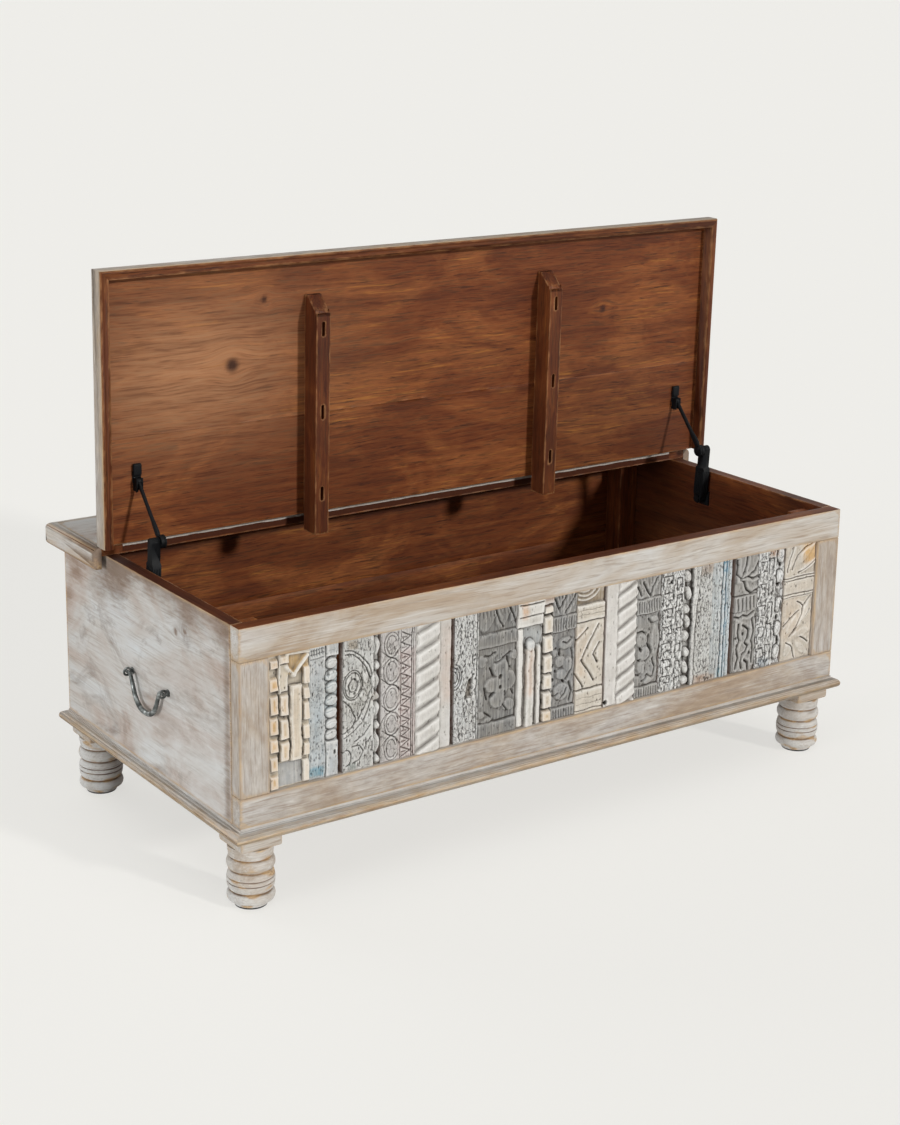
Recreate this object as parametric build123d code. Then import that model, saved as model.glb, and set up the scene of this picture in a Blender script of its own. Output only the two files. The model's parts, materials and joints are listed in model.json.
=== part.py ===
from build123d import *
import math
import os

# Storage bench in carved and whitewashed mango wood, millimetres, +Z up.
# The origin is on the floor under the middle of the whole bench, +Y points to its back.
# The lid is modelled open, as it stands on its two folding stays.

# Chest box
box_width = 1156.0
box_depth = 560.0
wall_height = 297.0
frame_thickness = 25.0
side_thickness = 20.0
back_thickness = 18.0
floor_thickness = 12.0
post_size = 40.0
post_drop = 10.0

# Front frame and its carved filling
top_rail_height = 50.0
bottom_rail_height = 45.0
stile_width = 48.0
backing_thickness = 8.0
strip_thickness = 14.0
joint_play = 0.15
# Each carved strip: relative width, how far its face stands back from
# the thickest strip, and the dark gap that follows it.
carved_strips = [
    (69, 0.5, 0.0), (47, 2.0, 8.0), (65, 1.0, 0.0), (61, 1.5, 0.0), (63, 0.0, 7.0), (44, 2.5, 0.0),
    (71, 1.0, 0.0), (69, 0.0, 0.0), (47, 2.0, 0.0), (54, 1.0, 4.0), (63, 0.0, 0.0), (50, 2.0, 0.0),
    (47, 1.0, 0.0), (62, 2.0, 0.0), (42, 3.0, 9.0), (49, 2.0, 0.0), (61, 1.0, 0.0), (68, 0.5, 0.0),
]

# Base moulding, blocks and turned feet
moulding_height = 20.0
moulding_overhang = 13.0
moulding_ledge = 55.0
bullnose_height = 15.0
nose_step = 1.0
cove_overhang = 0.8
cove_hollow = 0.3
block_height = 20.0
block_size = 68.0
block_round = 4.0
foot_inset = 36.0
foot_height = 91.0
glide_height = 3.0
glide_radius = 24.0
foot_end_radius = 26.0
foot_groove_radius = 32.0
foot_ring_radius = 35.5
foot_neck_radius = 34.0
foot_end_height = 6.0
lower_ring_height = 12.5
barrel_height = 31.0
upper_ring_height = 16.5
groove_height = 1.5

# Top boards and their edging
board_thickness = 15.0
lipping_thickness = 14.0
lipping_height = 35.0
lipping_round = 9.0
lipping_lower_round = 6.0
overhang_side = 22.0
overhang_front = 20.0
overhang_back = 20.0
strip_depth = 152.0

# Continuous hinge between the fixed rear board and the lid
lid_open_angle = 89.0
lid_play = 0.4
hinge_rise = 5.0
hinge_gap = 5.0
hinge_length = 1100.0
hinge_knuckles = 44
knuckle_radius = 3.2
knuckle_play = 0.3
pin_radius = 1.5
pin_play = 0.08
leaf_thickness = 1.2
leaf_height = 12.0

# Battens under the lid
batten_width = 25.0
batten_depth = 36.0
batten_length = 383.0
batten_tail = 27.0
batten_spread = 229.0
batten_relief = 1.5
batten_slope_length = 27.0
batten_slope_depth = 30.0
slot_length = 24.0
slot_width = 6.0
slot_depth = 20.0
slot_first = 40.0
slot_spacing = 133.0
slot_count = 3
screw_head_radius = 2.9
screw_head_height = 3.0

# Folding lid stays: a housing on the wall, a rod on the lid, joined at the knee
stay_wall_forward = 90.5
stay_wall_drop = 50.0
stay_knee_forward = 6.0
stay_knee_rise = 91.0
stay_bracket_reach = 99.0
stay_bracket_drop = 7.0
stay_plate_thickness = 3.0
stay_plate_size = 26.0
stay_play = 1.0
stay_pin_play = 0.08
housing_thickness = 14.0
housing_width = 22.0
housing_neck_width = 15.0
housing_neck_length = 34.0
housing_end_radius = 8.0
stud_radius = 3.0
stud_head_radius = 6.0
stud_head_height = 2.5
rod_radius = 2.3
eye_thickness = 5.0
knee_pin_radius = 2.0
knee_hole_play = 5.6
knee_eye_wall = 2.4
knee_cap_height = 2.5
bracket_pin_radius = 2.0
bracket_eye_radius = 5.0
bracket_ear_thickness = 2.5
bracket_ear_gap = 0.5
bracket_plate_thickness = 2.0
bracket_plate_length = 30.0

# Iron bail handles, hanging in eyes on both side panels
handle_offset = -10.0
handle_height = 137.0
handle_rod_radius = 3.3
handle_span = 94.0
handle_end = 15.0
handle_drop = 47.0
handle_foot_span = 52.0
handle_bend = 6.0
handle_bow = 36.0
eye_offset = 9.0
eye_hole_play = 0.5
eye_wall = 3.0
eye_width = 4.5
eye_base_radius = 7.0
eye_base_height = 2.0

# Levels and faces that follow from the sizes above
moulding_bottom = glide_height + foot_height + block_height
wall_bottom = moulding_bottom + moulding_height
wall_top = wall_bottom + wall_height
board_top = wall_top + board_thickness
lipping_bottom = board_top - lipping_height
half_width = box_width / 2
front_face = moulding_overhang - (moulding_overhang + box_depth + overhang_back) / 2
back_face = front_face + box_depth
frame_back = front_face + frame_thickness
back_inside = back_face - back_thickness
side_inside = half_width - side_thickness
floor_top = wall_bottom + floor_thickness
top_half_width = half_width + overhang_side
top_front = front_face - overhang_front
top_back = back_face + overhang_back
strip_front = back_face - strip_depth
hinge_y = strip_front - hinge_gap / 2
hinge_z = board_top + hinge_rise
lid_rear = hinge_y - hinge_gap / 2
lid_underside = wall_top + lid_play
hinge_axis = Axis((0, hinge_y, hinge_z), (1, 0, 0))
far = 2 * (box_width + box_depth)

os.makedirs("parts", exist_ok=True)


def save(name, shape):
    shape.label = name
    export_step(shape, "parts/" + name + ".step")


def block(x0, x1, y0, y1, z0, z1):
    centre = Pos((x0 + x1) / 2, (y0 + y1) / 2, (z0 + z1) / 2)
    return centre * Box(x1 - x0, y1 - y0, z1 - z0)


def group(solids):
    return Compound(children=list(solids))


def rod_between(start, end, radius):
    direction = Vector(*end) - Vector(*start)
    plane = Plane(origin=start, z_dir=direction)
    return plane * Cylinder(radius, direction.length, align=(Align.CENTER, Align.CENTER, Align.MIN))


def disc_x(x0, x1, y, z, radius):
    low, high = min(x0, x1), max(x0, x1)
    return rod_between((low, y, z), (high, y, z), radius)


def open_lid(shape):
    return shape.rotate(hinge_axis, -lid_open_angle)


def along_edge(section, side):
    # Extrude an edge section (outward, height) along one side of the chest and mitre
    # it at 45 degrees where it meets the next side.
    (x, y), turn, corner_reach = side
    solid = extrude(section, amount=far / 2, both=True)
    solid = Pos(x, y, 0) * Rot(0, 0, turn) * Rot(90, 0, 0) * solid
    wedge = make_face(Polyline((0, 0), (far, far), (far, -far), close=True))
    wedge = Pos(0, 0, -far / 2) * extrude(wedge, amount=far)
    return solid & (Pos(x - corner_reach * math.cos(math.radians(turn)),
                        y - corner_reach * math.sin(math.radians(turn)), 0) * Rot(0, 0, turn) * wedge)


def lipping_section():
    # Edging with a broad round on top and a smaller one below
    face = lipping_thickness
    upper = (face - lipping_round, board_top - lipping_round)
    lower = (face - lipping_lower_round, lipping_bottom + lipping_lower_round)
    outline = [
        Line((0, lipping_bottom), (lower[0], lipping_bottom)),
        CenterArc(lower, lipping_lower_round, 270, 90),
        Line((face, lower[1]), (face, upper[1])),
        CenterArc(upper, lipping_round, 0, 90),
        Line((upper[0], board_top), (0, board_top)),
        Line((0, board_top), (0, lipping_bottom)),
    ]
    return make_face(outline)


def moulding_section():
    # Bullnose with a small cove above it, on a flat ledge that carries the walls
    nose = bullnose_height / 2
    nose_top = moulding_bottom + bullnose_height
    nose_start = moulding_overhang - nose
    cove_foot = nose_start - nose_step
    cove_middle = (cove_overhang + (cove_foot - cove_overhang) * cove_hollow,
                   nose_top + (wall_bottom - nose_top) * cove_hollow)
    outline = [
        Line((-moulding_ledge, moulding_bottom), (nose_start, moulding_bottom)),
        CenterArc((nose_start, moulding_bottom + nose), nose, 270, 180),
        Line((nose_start, nose_top), (cove_foot, nose_top)),
        ThreePointArc((cove_foot, nose_top), cove_middle, (cove_overhang, wall_bottom)),
        Line((cove_overhang, wall_bottom), (-moulding_ledge, wall_bottom)),
        Line((-moulding_ledge, wall_bottom), (-moulding_ledge, moulding_bottom)),
    ]
    return make_face(outline)


def mitred(section, x0, x1, y0, y1):
    # The four mitred pieces of an edging whose sections start on the given rectangle
    xm, ym = (x0 + x1) / 2, (y0 + y1) / 2
    half_x, half_y = (x1 - x0) / 2, (y1 - y0) / 2
    sides = {
        "right": ((x1, ym), 0, half_y),
        "back": ((xm, y1), 90, half_x),
        "left": ((x0, ym), 180, half_y),
        "front": ((xm, y0), 270, half_x),
    }
    return {name: along_edge(section, side) for name, side in sides.items()}


# Front frame: rails run through, stiles stand between them
opening_bottom = wall_bottom + bottom_rail_height
opening_top = wall_top - top_rail_height
opening_half = half_width - stile_width
save("front_top_rail", block(-half_width, half_width, front_face, frame_back, opening_top, wall_top))
save("front_bottom_rail",
     block(-half_width, half_width, front_face, frame_back, wall_bottom, opening_bottom))
save("front_left_stile",
     block(-half_width, -opening_half, front_face, frame_back, opening_bottom, opening_top))
save("front_right_stile",
     block(opening_half, half_width, front_face, frame_back, opening_bottom, opening_top))

# Backing board and the carved strips that stand on it
backing_front = frame_back - backing_thickness
save("front_backing_board",
     block(-opening_half, opening_half, backing_front, frame_back, opening_bottom, opening_top))
gap_total = sum(gap for share, setback, gap in carved_strips) + joint_play * (len(carved_strips) + 1)
share_total = sum(share for share, setback, gap in carved_strips)
share_width = (2 * opening_half - gap_total) / share_total
strip_x = -opening_half + joint_play
for number, (share, setback, gap) in enumerate(carved_strips, start=1):
    strip_end = strip_x + share * share_width
    strip_face = backing_front - strip_thickness + setback
    strip = block(strip_x, strip_end, strip_face, backing_front,
                  opening_bottom + joint_play, opening_top - joint_play)
    save("carved_strip_%02d" % number, strip)
    strip_x = strip_end + gap + joint_play

# Side, back and floor panels, and the posts in the inner corners
save("left_side_panel", block(-half_width, -side_inside, frame_back, back_face, wall_bottom, wall_top))
save("right_side_panel", block(side_inside, half_width, frame_back, back_face, wall_bottom, wall_top))
save("back_panel", block(-side_inside, side_inside, back_inside, back_face, wall_bottom, wall_top))
save("floor_panel", block(-side_inside, side_inside, frame_back, back_inside, wall_bottom, floor_top))
posts = []
for x0 in (-side_inside, side_inside - post_size):
    for y0 in (frame_back, back_inside - post_size):
        posts.append(block(x0, x0 + post_size, y0, y0 + post_size, floor_top, wall_top - post_drop))
save("corner_posts", group(posts))

# Base moulding, mitred at the corners
for side, piece in mitred(moulding_section(), -half_width, half_width, front_face, back_face).items():
    save("base_moulding_" + side, piece)


def turned_foot():
    # Half outline of the foot from its end up to the block
    z = glide_height
    outline = [Line((0, z), (foot_end_radius, z))]

    def straight(r0, z0, r1, z1):
        outline.append(Line((r0, z0), (r1, z1)))

    def bead(z0, height):
        middle = (foot_ring_radius, z0 + height / 2)
        outline.append(ThreePointArc((foot_groove_radius, z0), middle, (foot_groove_radius, z0 + height)))

    straight(foot_end_radius, z, foot_end_radius, z + foot_end_height)
    z += foot_end_height
    straight(foot_end_radius, z, foot_groove_radius, z)
    for height in (lower_ring_height, barrel_height, upper_ring_height):
        bead(z, height)
        z += height
        straight(foot_groove_radius, z, foot_groove_radius, z + groove_height)
        z += groove_height
    top = glide_height + foot_height
    straight(foot_groove_radius, z, foot_neck_radius, top)
    straight(foot_neck_radius, top, 0, top)
    straight(0, top, 0, glide_height)
    return revolve(Plane.XZ * make_face(outline), axis=Axis.Z)


# Feet under square blocks at the four corners
foot_x = half_width - foot_inset
foot = turned_foot()
block_bottom = glide_height + foot_height
half_block = block_size / 2
foot_block = block(-half_block, half_block, -half_block, half_block, block_bottom, moulding_bottom)
foot_block = fillet(foot_block.edges().group_by(Axis.Z)[0], block_round)
blocks = []
glides = []
for end_name, y in (("front", front_face + foot_inset), ("back", back_face - foot_inset)):
    for side_name, x in (("left", -foot_x), ("right", foot_x)):
        save("foot_" + end_name + "_" + side_name, Pos(x, y, 0) * foot)
        blocks.append(Pos(x, y, 0) * foot_block)
        glides.append(rod_between((x, y, 0), (x, y, glide_height), glide_radius))
save("foot_blocks", group(blocks))
save("foot_glides", group(glides))

# Fixed rear board and lid, each with a mitred edging that hangs over the walls
inner_half = top_half_width - lipping_thickness
inner_front = top_front + lipping_thickness
inner_back = top_back - lipping_thickness
save("rear_top_board", block(-inner_half, inner_half, strip_front, inner_back, wall_top, board_top))
edging = mitred(lipping_section(), -inner_half, inner_half, inner_front, inner_back)
rear_zone = block(-far, far, strip_front, far, 0, far)
lid_zone = block(-far, far, -far, lid_rear, 0, far)
save("rear_lipping_back", edging["back"])
save("rear_side_lippings", group([edging["left"] & rear_zone, edging["right"] & rear_zone]))
save("lid_panel", open_lid(block(-inner_half, inner_half, inner_front, lid_rear, lid_underside, board_top)))
save("lid_lipping_front", open_lid(edging["front"]))
save("lid_lipping_left", open_lid(edging["left"] & lid_zone))
save("lid_lipping_right", open_lid(edging["right"] & lid_zone))


def hinge_leaf(edge_y, first):
    # A leaf against one board edge, rolled into every second knuckle round the pin
    inward = math.copysign(leaf_thickness, hinge_y - edge_y)
    low, high = min(edge_y, edge_y + inward), max(edge_y, edge_y + inward)
    leaf = block(-hinge_length / 2, hinge_length / 2, low, high, board_top - leaf_height, board_top)
    pitch = hinge_length / hinge_knuckles
    for number in range(first, hinge_knuckles, 2):
        x0 = -hinge_length / 2 + number * pitch + knuckle_play / 2
        x1 = x0 + pitch - knuckle_play
        leaf += block(x0, x1, low, high, board_top, hinge_z)
        leaf += disc_x(x0, x1, hinge_y, hinge_z, knuckle_radius)
    return leaf - disc_x(-hinge_length, hinge_length, hinge_y, hinge_z, pin_radius + pin_play)


save("hinge_fixed_leaf", hinge_leaf(strip_front, 0))
save("hinge_lid_leaf", open_lid(hinge_leaf(lid_rear, 1)))
save("hinge_pin", disc_x(-hinge_length / 2, hinge_length / 2, hinge_y, hinge_z, pin_radius))

# Battens under the lid: sloped at the free end, with a tail that reaches under the rear board
batten_rear = lid_rear + batten_tail
batten_front = batten_rear - batten_length
batten_bottom = lid_underside - batten_depth
slot_places = [lid_rear - slot_first - slot_spacing * row for row in range(slot_count)]


def batten(x):
    outline = Polyline(
        (batten_front, lid_underside),
        (lid_rear, lid_underside),
        (lid_rear, lid_underside - batten_relief),
        (batten_rear, lid_underside - batten_relief),
        (batten_rear, batten_bottom),
        (batten_front + batten_slope_length, batten_bottom),
        (batten_front, batten_bottom + batten_slope_depth),
        close=True,
    )
    bar = extrude(Plane.YZ * make_face(outline), amount=batten_width / 2, both=True)
    for y in slot_places:
        cutter = extrude(Plane.XY * SlotOverall(slot_length, slot_width), amount=slot_depth)
        bar -= Pos(0, y, batten_bottom) * Rot(0, 0, 90) * cutter
    return Pos(x, 0, 0) * bar


screws = []
for side_name, x in (("left", -batten_spread), ("right", batten_spread)):
    save("lid_batten_" + side_name, open_lid(batten(x)))
    for y in slot_places:
        seat = batten_bottom + slot_depth
        screw = rod_between((x, y, seat - screw_head_height), (x, y, seat), screw_head_radius)
        screws.append(open_lid(screw))
save("batten_screws", group(screws))

# Lid stays. Wall pivot, knee and lid pivot are places across the chest (Y, Z) with the lid open.
housing_face = side_inside - stay_plate_thickness - stay_play
rod_face = housing_face - housing_thickness - stay_play
cap_face = rod_face - eye_thickness - stay_play
wall_pivot = (hinge_y - stay_wall_forward, wall_top - stay_wall_drop)
knee = (wall_pivot[0] - stay_knee_forward, wall_pivot[1] + stay_knee_rise)
lid_turn = math.radians(lid_open_angle)
pivot_fall = hinge_z - lid_underside + stay_bracket_drop
lid_pivot = (hinge_y - stay_bracket_reach * math.cos(lid_turn) - pivot_fall * math.sin(lid_turn),
             hinge_z + stay_bracket_reach * math.sin(lid_turn) - pivot_fall * math.cos(lid_turn))
knee_eye_hole = knee_pin_radius + knee_hole_play
knee_eye_radius = knee_eye_hole + knee_eye_wall


def stay_housing(side):
    # Link from the wall pivot to the knee, broad below and with a narrower neck
    dy, dz = knee[0] - wall_pivot[0], knee[1] - wall_pivot[1]
    length = math.hypot(dy, dz)
    broad = housing_width / 2
    neck = housing_neck_width / 2
    shoulder = length - housing_neck_length
    outline = Polyline(
        (-neck, 0), (-broad, housing_width / 2), (-broad, shoulder), (-neck, shoulder + broad - neck),
        (-neck, length), (neck, length), (neck, shoulder + broad - neck), (broad, shoulder),
        (broad, housing_width / 2), (neck, 0), close=True)
    plane = Plane(origin=(0, wall_pivot[0], wall_pivot[1]), x_dir=(0, dz, -dy), z_dir=(1, 0, 0))
    body = extrude(plane * make_face(outline), amount=housing_thickness)
    inner_face = housing_face - housing_thickness
    body = Pos(inner_face, 0, 0) * body
    body += disc_x(inner_face, housing_face, *wall_pivot, housing_end_radius)
    body += disc_x(inner_face, housing_face, *knee, neck)
    body += disc_x(cap_face, inner_face, *knee, knee_pin_radius)
    body += disc_x(cap_face - knee_cap_height, cap_face, *knee, knee_eye_radius)
    body -= disc_x(0, far, *wall_pivot, stud_radius + stay_pin_play)
    return body if side > 0 else body.mirror(Plane.YZ)


def stay_rod(side):
    # Rod from the knee eye, which has play, to the eye on the lid bracket
    eye_middle = rod_face - eye_thickness / 2
    bar = rod_between((eye_middle, *knee), (eye_middle, *lid_pivot), rod_radius)
    bar += disc_x(rod_face - eye_thickness, rod_face, *knee, knee_eye_radius)
    bar += disc_x(rod_face - eye_thickness, rod_face, *lid_pivot, bracket_eye_radius)
    bar -= disc_x(0, far, *knee, knee_eye_hole)
    bar -= disc_x(0, far, *lid_pivot, bracket_pin_radius + stay_pin_play)
    return bar if side > 0 else bar.mirror(Plane.YZ)


def stay_wall_plate(side):
    # Plate screwed to the wall, with the stud that carries the housing
    y, z = wall_pivot
    half = stay_plate_size / 2
    plate = block(side_inside - stay_plate_thickness, side_inside, y - half, y + half, z - half, z + half)
    stud_end = housing_face - housing_thickness - stay_play / 2
    plate += disc_x(stud_end, side_inside, y, z, stud_radius)
    plate += disc_x(stud_end - stud_head_height, stud_end, y, z, stud_head_radius)
    return plate if side > 0 else plate.mirror(Plane.YZ)


def stay_lid_bracket(side):
    # Two ears and a pin under the lid, modelled with the lid closed
    y = hinge_y - stay_bracket_reach
    z = lid_underside - stay_bracket_drop
    inner_ear = rod_face - eye_thickness - bracket_ear_gap - bracket_ear_thickness
    outer_ear = rod_face + bracket_ear_gap
    half = bracket_plate_length / 2
    ear_bottom = z - bracket_eye_radius
    bracket = block(inner_ear, outer_ear + bracket_ear_thickness, y + bracket_eye_radius, y + half,
                    lid_underside - bracket_plate_thickness, lid_underside)
    for x0 in (inner_ear, outer_ear):
        bracket += block(x0, x0 + bracket_ear_thickness, y - bracket_eye_radius, y + half,
                         ear_bottom, lid_underside)
    bracket += disc_x(inner_ear, outer_ear + bracket_ear_thickness, y, z, bracket_pin_radius)
    bracket = open_lid(bracket)
    return bracket if side > 0 else bracket.mirror(Plane.YZ)


for side_name, side in (("left", -1), ("right", 1)):
    save("stay_housing_" + side_name, stay_housing(side))
    save("stay_rod_" + side_name, stay_rod(side))
save("stay_wall_plates", group([stay_wall_plate(-1), stay_wall_plate(1)]))
save("stay_lid_brackets", group([stay_lid_bracket(-1), stay_lid_bracket(1)]))

# Bail handles: a bent rod whose ends turn in eyes on the side panels
handle_y = (front_face + back_face) / 2 + handle_offset
handle_z = wall_bottom + handle_height
handle_x = half_width + eye_offset
half_span = handle_span / 2
half_foot = handle_foot_span / 2


def bail(side):
    route = [
        (handle_x, handle_y - half_span - handle_end, handle_z),
        (handle_x, handle_y - half_span, handle_z),
        (handle_x, handle_y - half_foot, handle_z - handle_drop),
        (handle_x, handle_y + half_foot, handle_z - handle_drop),
        (handle_x, handle_y + half_span, handle_z),
        (handle_x, handle_y + half_span + handle_end, handle_z),
    ]
    path = FilletPolyline(*route, radius=[handle_bend, handle_bow, handle_bow, handle_bend])
    section = Plane(origin=route[0], z_dir=(0, 1, 0)) * Circle(handle_rod_radius)
    bar = sweep(section, path=path)
    return bar if side > 0 else bar.mirror(Plane.YZ)


def handle_eye(side, y):
    hole = handle_rod_radius + eye_hole_play
    outside = hole + eye_wall
    low, high = y - eye_width / 2, y + eye_width / 2
    eye = rod_between((handle_x, low, handle_z), (handle_x, high, handle_z), outside)
    eye += block(half_width, handle_x, low, high, handle_z - outside / 2, handle_z + outside / 2)
    eye += disc_x(half_width, half_width + eye_base_height, y, handle_z, eye_base_radius)
    eye -= rod_between((handle_x, low - eye_width, handle_z), (handle_x, high + eye_width, handle_z), hole)
    return eye if side > 0 else eye.mirror(Plane.YZ)


eye_reach = half_span + handle_end - eye_width
eyes = []
for side_name, side in (("left", -1), ("right", 1)):
    save("handle_" + side_name, bail(side))
    eyes += [handle_eye(side, handle_y - eye_reach), handle_eye(side, handle_y + eye_reach)]
save("handle_eyes", group(eyes))
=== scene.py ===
import bpy
import json
import math
import numpy as np
from mathutils import Matrix, Vector, noise
from types import SimpleNamespace


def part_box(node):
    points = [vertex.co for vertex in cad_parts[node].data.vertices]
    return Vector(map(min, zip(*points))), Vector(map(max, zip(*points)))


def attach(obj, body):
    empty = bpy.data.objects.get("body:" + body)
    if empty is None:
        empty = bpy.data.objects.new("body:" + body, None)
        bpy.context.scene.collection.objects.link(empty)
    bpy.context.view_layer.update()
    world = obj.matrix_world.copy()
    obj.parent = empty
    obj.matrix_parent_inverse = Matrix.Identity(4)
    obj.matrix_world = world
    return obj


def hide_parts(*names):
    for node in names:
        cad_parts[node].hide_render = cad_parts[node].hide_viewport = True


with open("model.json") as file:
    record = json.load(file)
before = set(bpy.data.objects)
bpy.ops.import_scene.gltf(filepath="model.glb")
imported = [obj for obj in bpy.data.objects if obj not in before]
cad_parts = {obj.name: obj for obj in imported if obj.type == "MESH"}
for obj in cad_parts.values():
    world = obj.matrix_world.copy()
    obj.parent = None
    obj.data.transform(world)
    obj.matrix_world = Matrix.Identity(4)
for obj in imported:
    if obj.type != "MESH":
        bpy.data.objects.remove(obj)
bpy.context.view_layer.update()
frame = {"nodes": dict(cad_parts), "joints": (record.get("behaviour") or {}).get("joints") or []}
nodes = frame["nodes"]
hinge = Vector(frame["joints"][0]["pos_m"])
lidAngle = math.radians(89)  # the lid stands open this far in the photo and at rest
openTurn = Matrix.Translation(hinge) @ Matrix.Rotation(-lidAngle, 4, "X") @ Matrix.Translation(-hinge)
closeTurn = openTurn.inverted()
print("frame loaded,", len(nodes), "nodes")


# small tools for selecting, measuring and marking meshes

def deselectAll():
    if bpy.context.object and bpy.context.object.mode != "OBJECT":
        bpy.ops.object.mode_set(mode="OBJECT")
    bpy.ops.object.select_all(action="DESELECT")


def editOnly(piece):
    deselectAll()
    piece.select_set(True)
    bpy.context.view_layer.objects.active = piece


def editAll(piece, job, **settings):
    # one edit-mode operator on the whole mesh
    editOnly(piece)
    bpy.ops.object.mode_set(mode="EDIT")
    bpy.ops.mesh.select_all(action="SELECT")
    job(**settings)
    bpy.ops.object.mode_set(mode="OBJECT")


def triples(group, what):
    flat = np.empty(len(group) * 3)
    group.foreach_get(what, flat)
    return flat.reshape(-1, 3)


def points(piece):
    return triples(piece.data.vertices, "co")


def movePoints(piece, places):
    piece.data.vertices.foreach_set("co", np.asarray(places, float).ravel())
    piece.data.update()


def mark(piece, name, values, kind="FLOAT"):
    # values are one number for the whole piece, or one for each point
    layer = piece.data.attributes.get(name) or piece.data.attributes.new(name, kind, "POINT")
    field = {"FLOAT": "value", "FLOAT_VECTOR": "vector", "FLOAT_COLOR": "color"}[kind]
    if np.ndim(values) == 0:
        values = np.full(len(piece.data.vertices), values)
    layer.data.foreach_set(field, np.asarray(values, np.float32).ravel())


def selectEdges(piece, test):
    # test gets the two ends of every edge as arrays
    bpy.ops.object.mode_set(mode="OBJECT")
    mesh = piece.data
    ends = np.empty(len(mesh.edges) * 2, int)
    mesh.edges.foreach_get("vertices", ends)
    ends = points(piece)[ends.reshape(-1, 2)]
    chosen = test(ends[:, 0], ends[:, 1])
    for group in (mesh.vertices, mesh.polygons):
        group.foreach_set("select", np.zeros(len(group), bool))
    mesh.edges.foreach_set("select", chosen)
    bpy.context.tool_settings.mesh_select_mode = (False, True, False)
    bpy.ops.object.mode_set(mode="EDIT")
    return chosen.any()


def cutAlong(piece, axis, cuts, longer):
    # one subdivide makes at most 100 cuts, so long boards are cut in two passes
    def straight(a, b):
        run = np.abs(b - a)
        return (run[:, axis] > longer) & (np.delete(run, axis, 1).max(1) < 1e-6)
    for number in ([cuts] if cuts <= 100 else [cuts // 60, 59]):
        if number > 0 and selectEdges(piece, straight):
            bpy.ops.mesh.subdivide(number_cuts=number)
        longer = longer / (number + 1)
    bpy.ops.object.mode_set(mode="OBJECT")


def cutEvenly(piece, low, high, step):
    for axis in range(3):
        length = high[axis] - low[axis]
        cutAlong(piece, axis, int(length / step), length * 0.6)


def block(name, low, high, rounding=0, segments=2):
    # a box between two corners, with rounded edges
    deselectAll()
    low, high = Vector(low), Vector(high)
    bpy.ops.mesh.primitive_cube_add(size=1, location=(low + high) / 2, scale=high - low)
    piece = bpy.context.object
    piece.name = name
    bpy.ops.object.transform_apply(location=True, rotation=False, scale=True)
    if rounding:
        editAll(piece, bpy.ops.mesh.bevel, offset=rounding, segments=segments, affect="EDGES")
    return piece


def smoothEdges(piece, degrees=38):
    editOnly(piece)
    bpy.ops.object.shade_smooth_by_angle(angle=math.radians(degrees))


def joinAll(name, pieces):
    deselectAll()
    for piece in pieces:
        piece.select_set(True)
    bpy.context.view_layer.objects.active = pieces[0]
    if len(pieces) > 1:
        bpy.ops.object.join()
    pieces[0].name = pieces[0].data.name = name
    return pieces[0]


def standFor(piece, body, slot, node, material=None):
    if material:
        piece.data.materials.append(material)
    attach(piece, body)
    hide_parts(node)


# materials

def colour(hexText):
    parts = [int(hexText[i:i + 2], 16) / 255 for i in (1, 3, 5)]
    return [p / 12.92 if p <= 0.04045 else ((p + 0.055) / 1.055) ** 2.4 for p in parts] + [1.0]


def put(tree, kind, inputs=None, out=0, stops=(), **settings):
    # adds one node; an input gets a link, a value or a colour, and one output is handed back
    node = tree.nodes.new("ShaderNode" + kind)
    for key, value in settings.items():
        setattr(node, key, value)
    for number, (place, shade) in enumerate(stops):
        steps = node.color_ramp.elements
        step = steps[number] if number < len(steps) else steps.new(place)
        step.position, step.color = place, colour(shade)
    for key, value in (inputs or {}).items():
        if isinstance(value, bpy.types.NodeSocket):
            tree.links.new(value, node.inputs[key])
        else:
            node.inputs[key].default_value = colour(value) if isinstance(value, str) else value
    return node.outputs[out] if len(node.outputs) else node


def newMaterial(name):
    material = bpy.data.materials.new(name)
    material.use_nodes = True
    material.node_tree.nodes.clear()
    return material, material.node_tree


def surface(tree, inputs):
    put(tree, "OutputMaterial", {"Surface": put(tree, "BsdfPrincipled", inputs)})


def weighed(tree, first, share, second, other=1):
    # two patterns added, each with its own weight
    second = put(tree, "Math", {0: second, 1: other}, operation="MULTIPLY")
    return put(tree, "Math", {0: first, 1: share, 2: second}, operation="MULTIPLY_ADD")


def layOver(tree, shade, *rows):
    # each row lays a tone over the shade: pattern, its low and high, cover at low and at high, tone
    # inputs 0 to 4 of MapRange are those first five; of Mix 0 is the share, 6 and 7 are the two colours
    for pattern, low, high, least, most, tone in rows:
        cover = put(tree, "MapRange", {0: pattern, 1: low, 2: high, 3: least, 4: most})
        shade = put(tree, "Mix", {0: cover, 6: shade, 7: tone}, 2, data_type="RGBA")
    return shade


def grainPatterns(tree, wander, *rows):
    # noises drawn out along the grain, which wanders sideways as growth rings do
    # each row: length and width of one streak in millimetres, detail, roughness, shift, distortion
    grain = put(tree, "Attribute", out="Vector", attribute_name="grain")
    slow = put(tree, "Mapping", {"Vector": grain, "Scale": (5, 14, 14)})
    drift = put(tree, "TexNoise", {"Vector": slow, "Scale": 1, "Detail": 2}, "Color")
    drift = put(tree, "VectorMath", {0: drift, 1: (0.5, 0.5, 0.5)}, operation="SUBTRACT")
    place = put(tree, "VectorMath", {0: drift, 1: (0, wander, wander), 2: grain}, operation="MULTIPLY_ADD")
    for length, width, detail, rough, shift, distortion in rows:
        moved = put(tree, "Mapping", {"Vector": place, "Location": (shift, shift, shift),
                                      "Scale": (1000 / length, 1000 / width, 1000 / width)})
        yield put(tree, "TexNoise", {"Vector": moved, "Scale": 1, "Detail": detail, "Roughness": rough,
                                     "Distortion": distortion})


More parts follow.
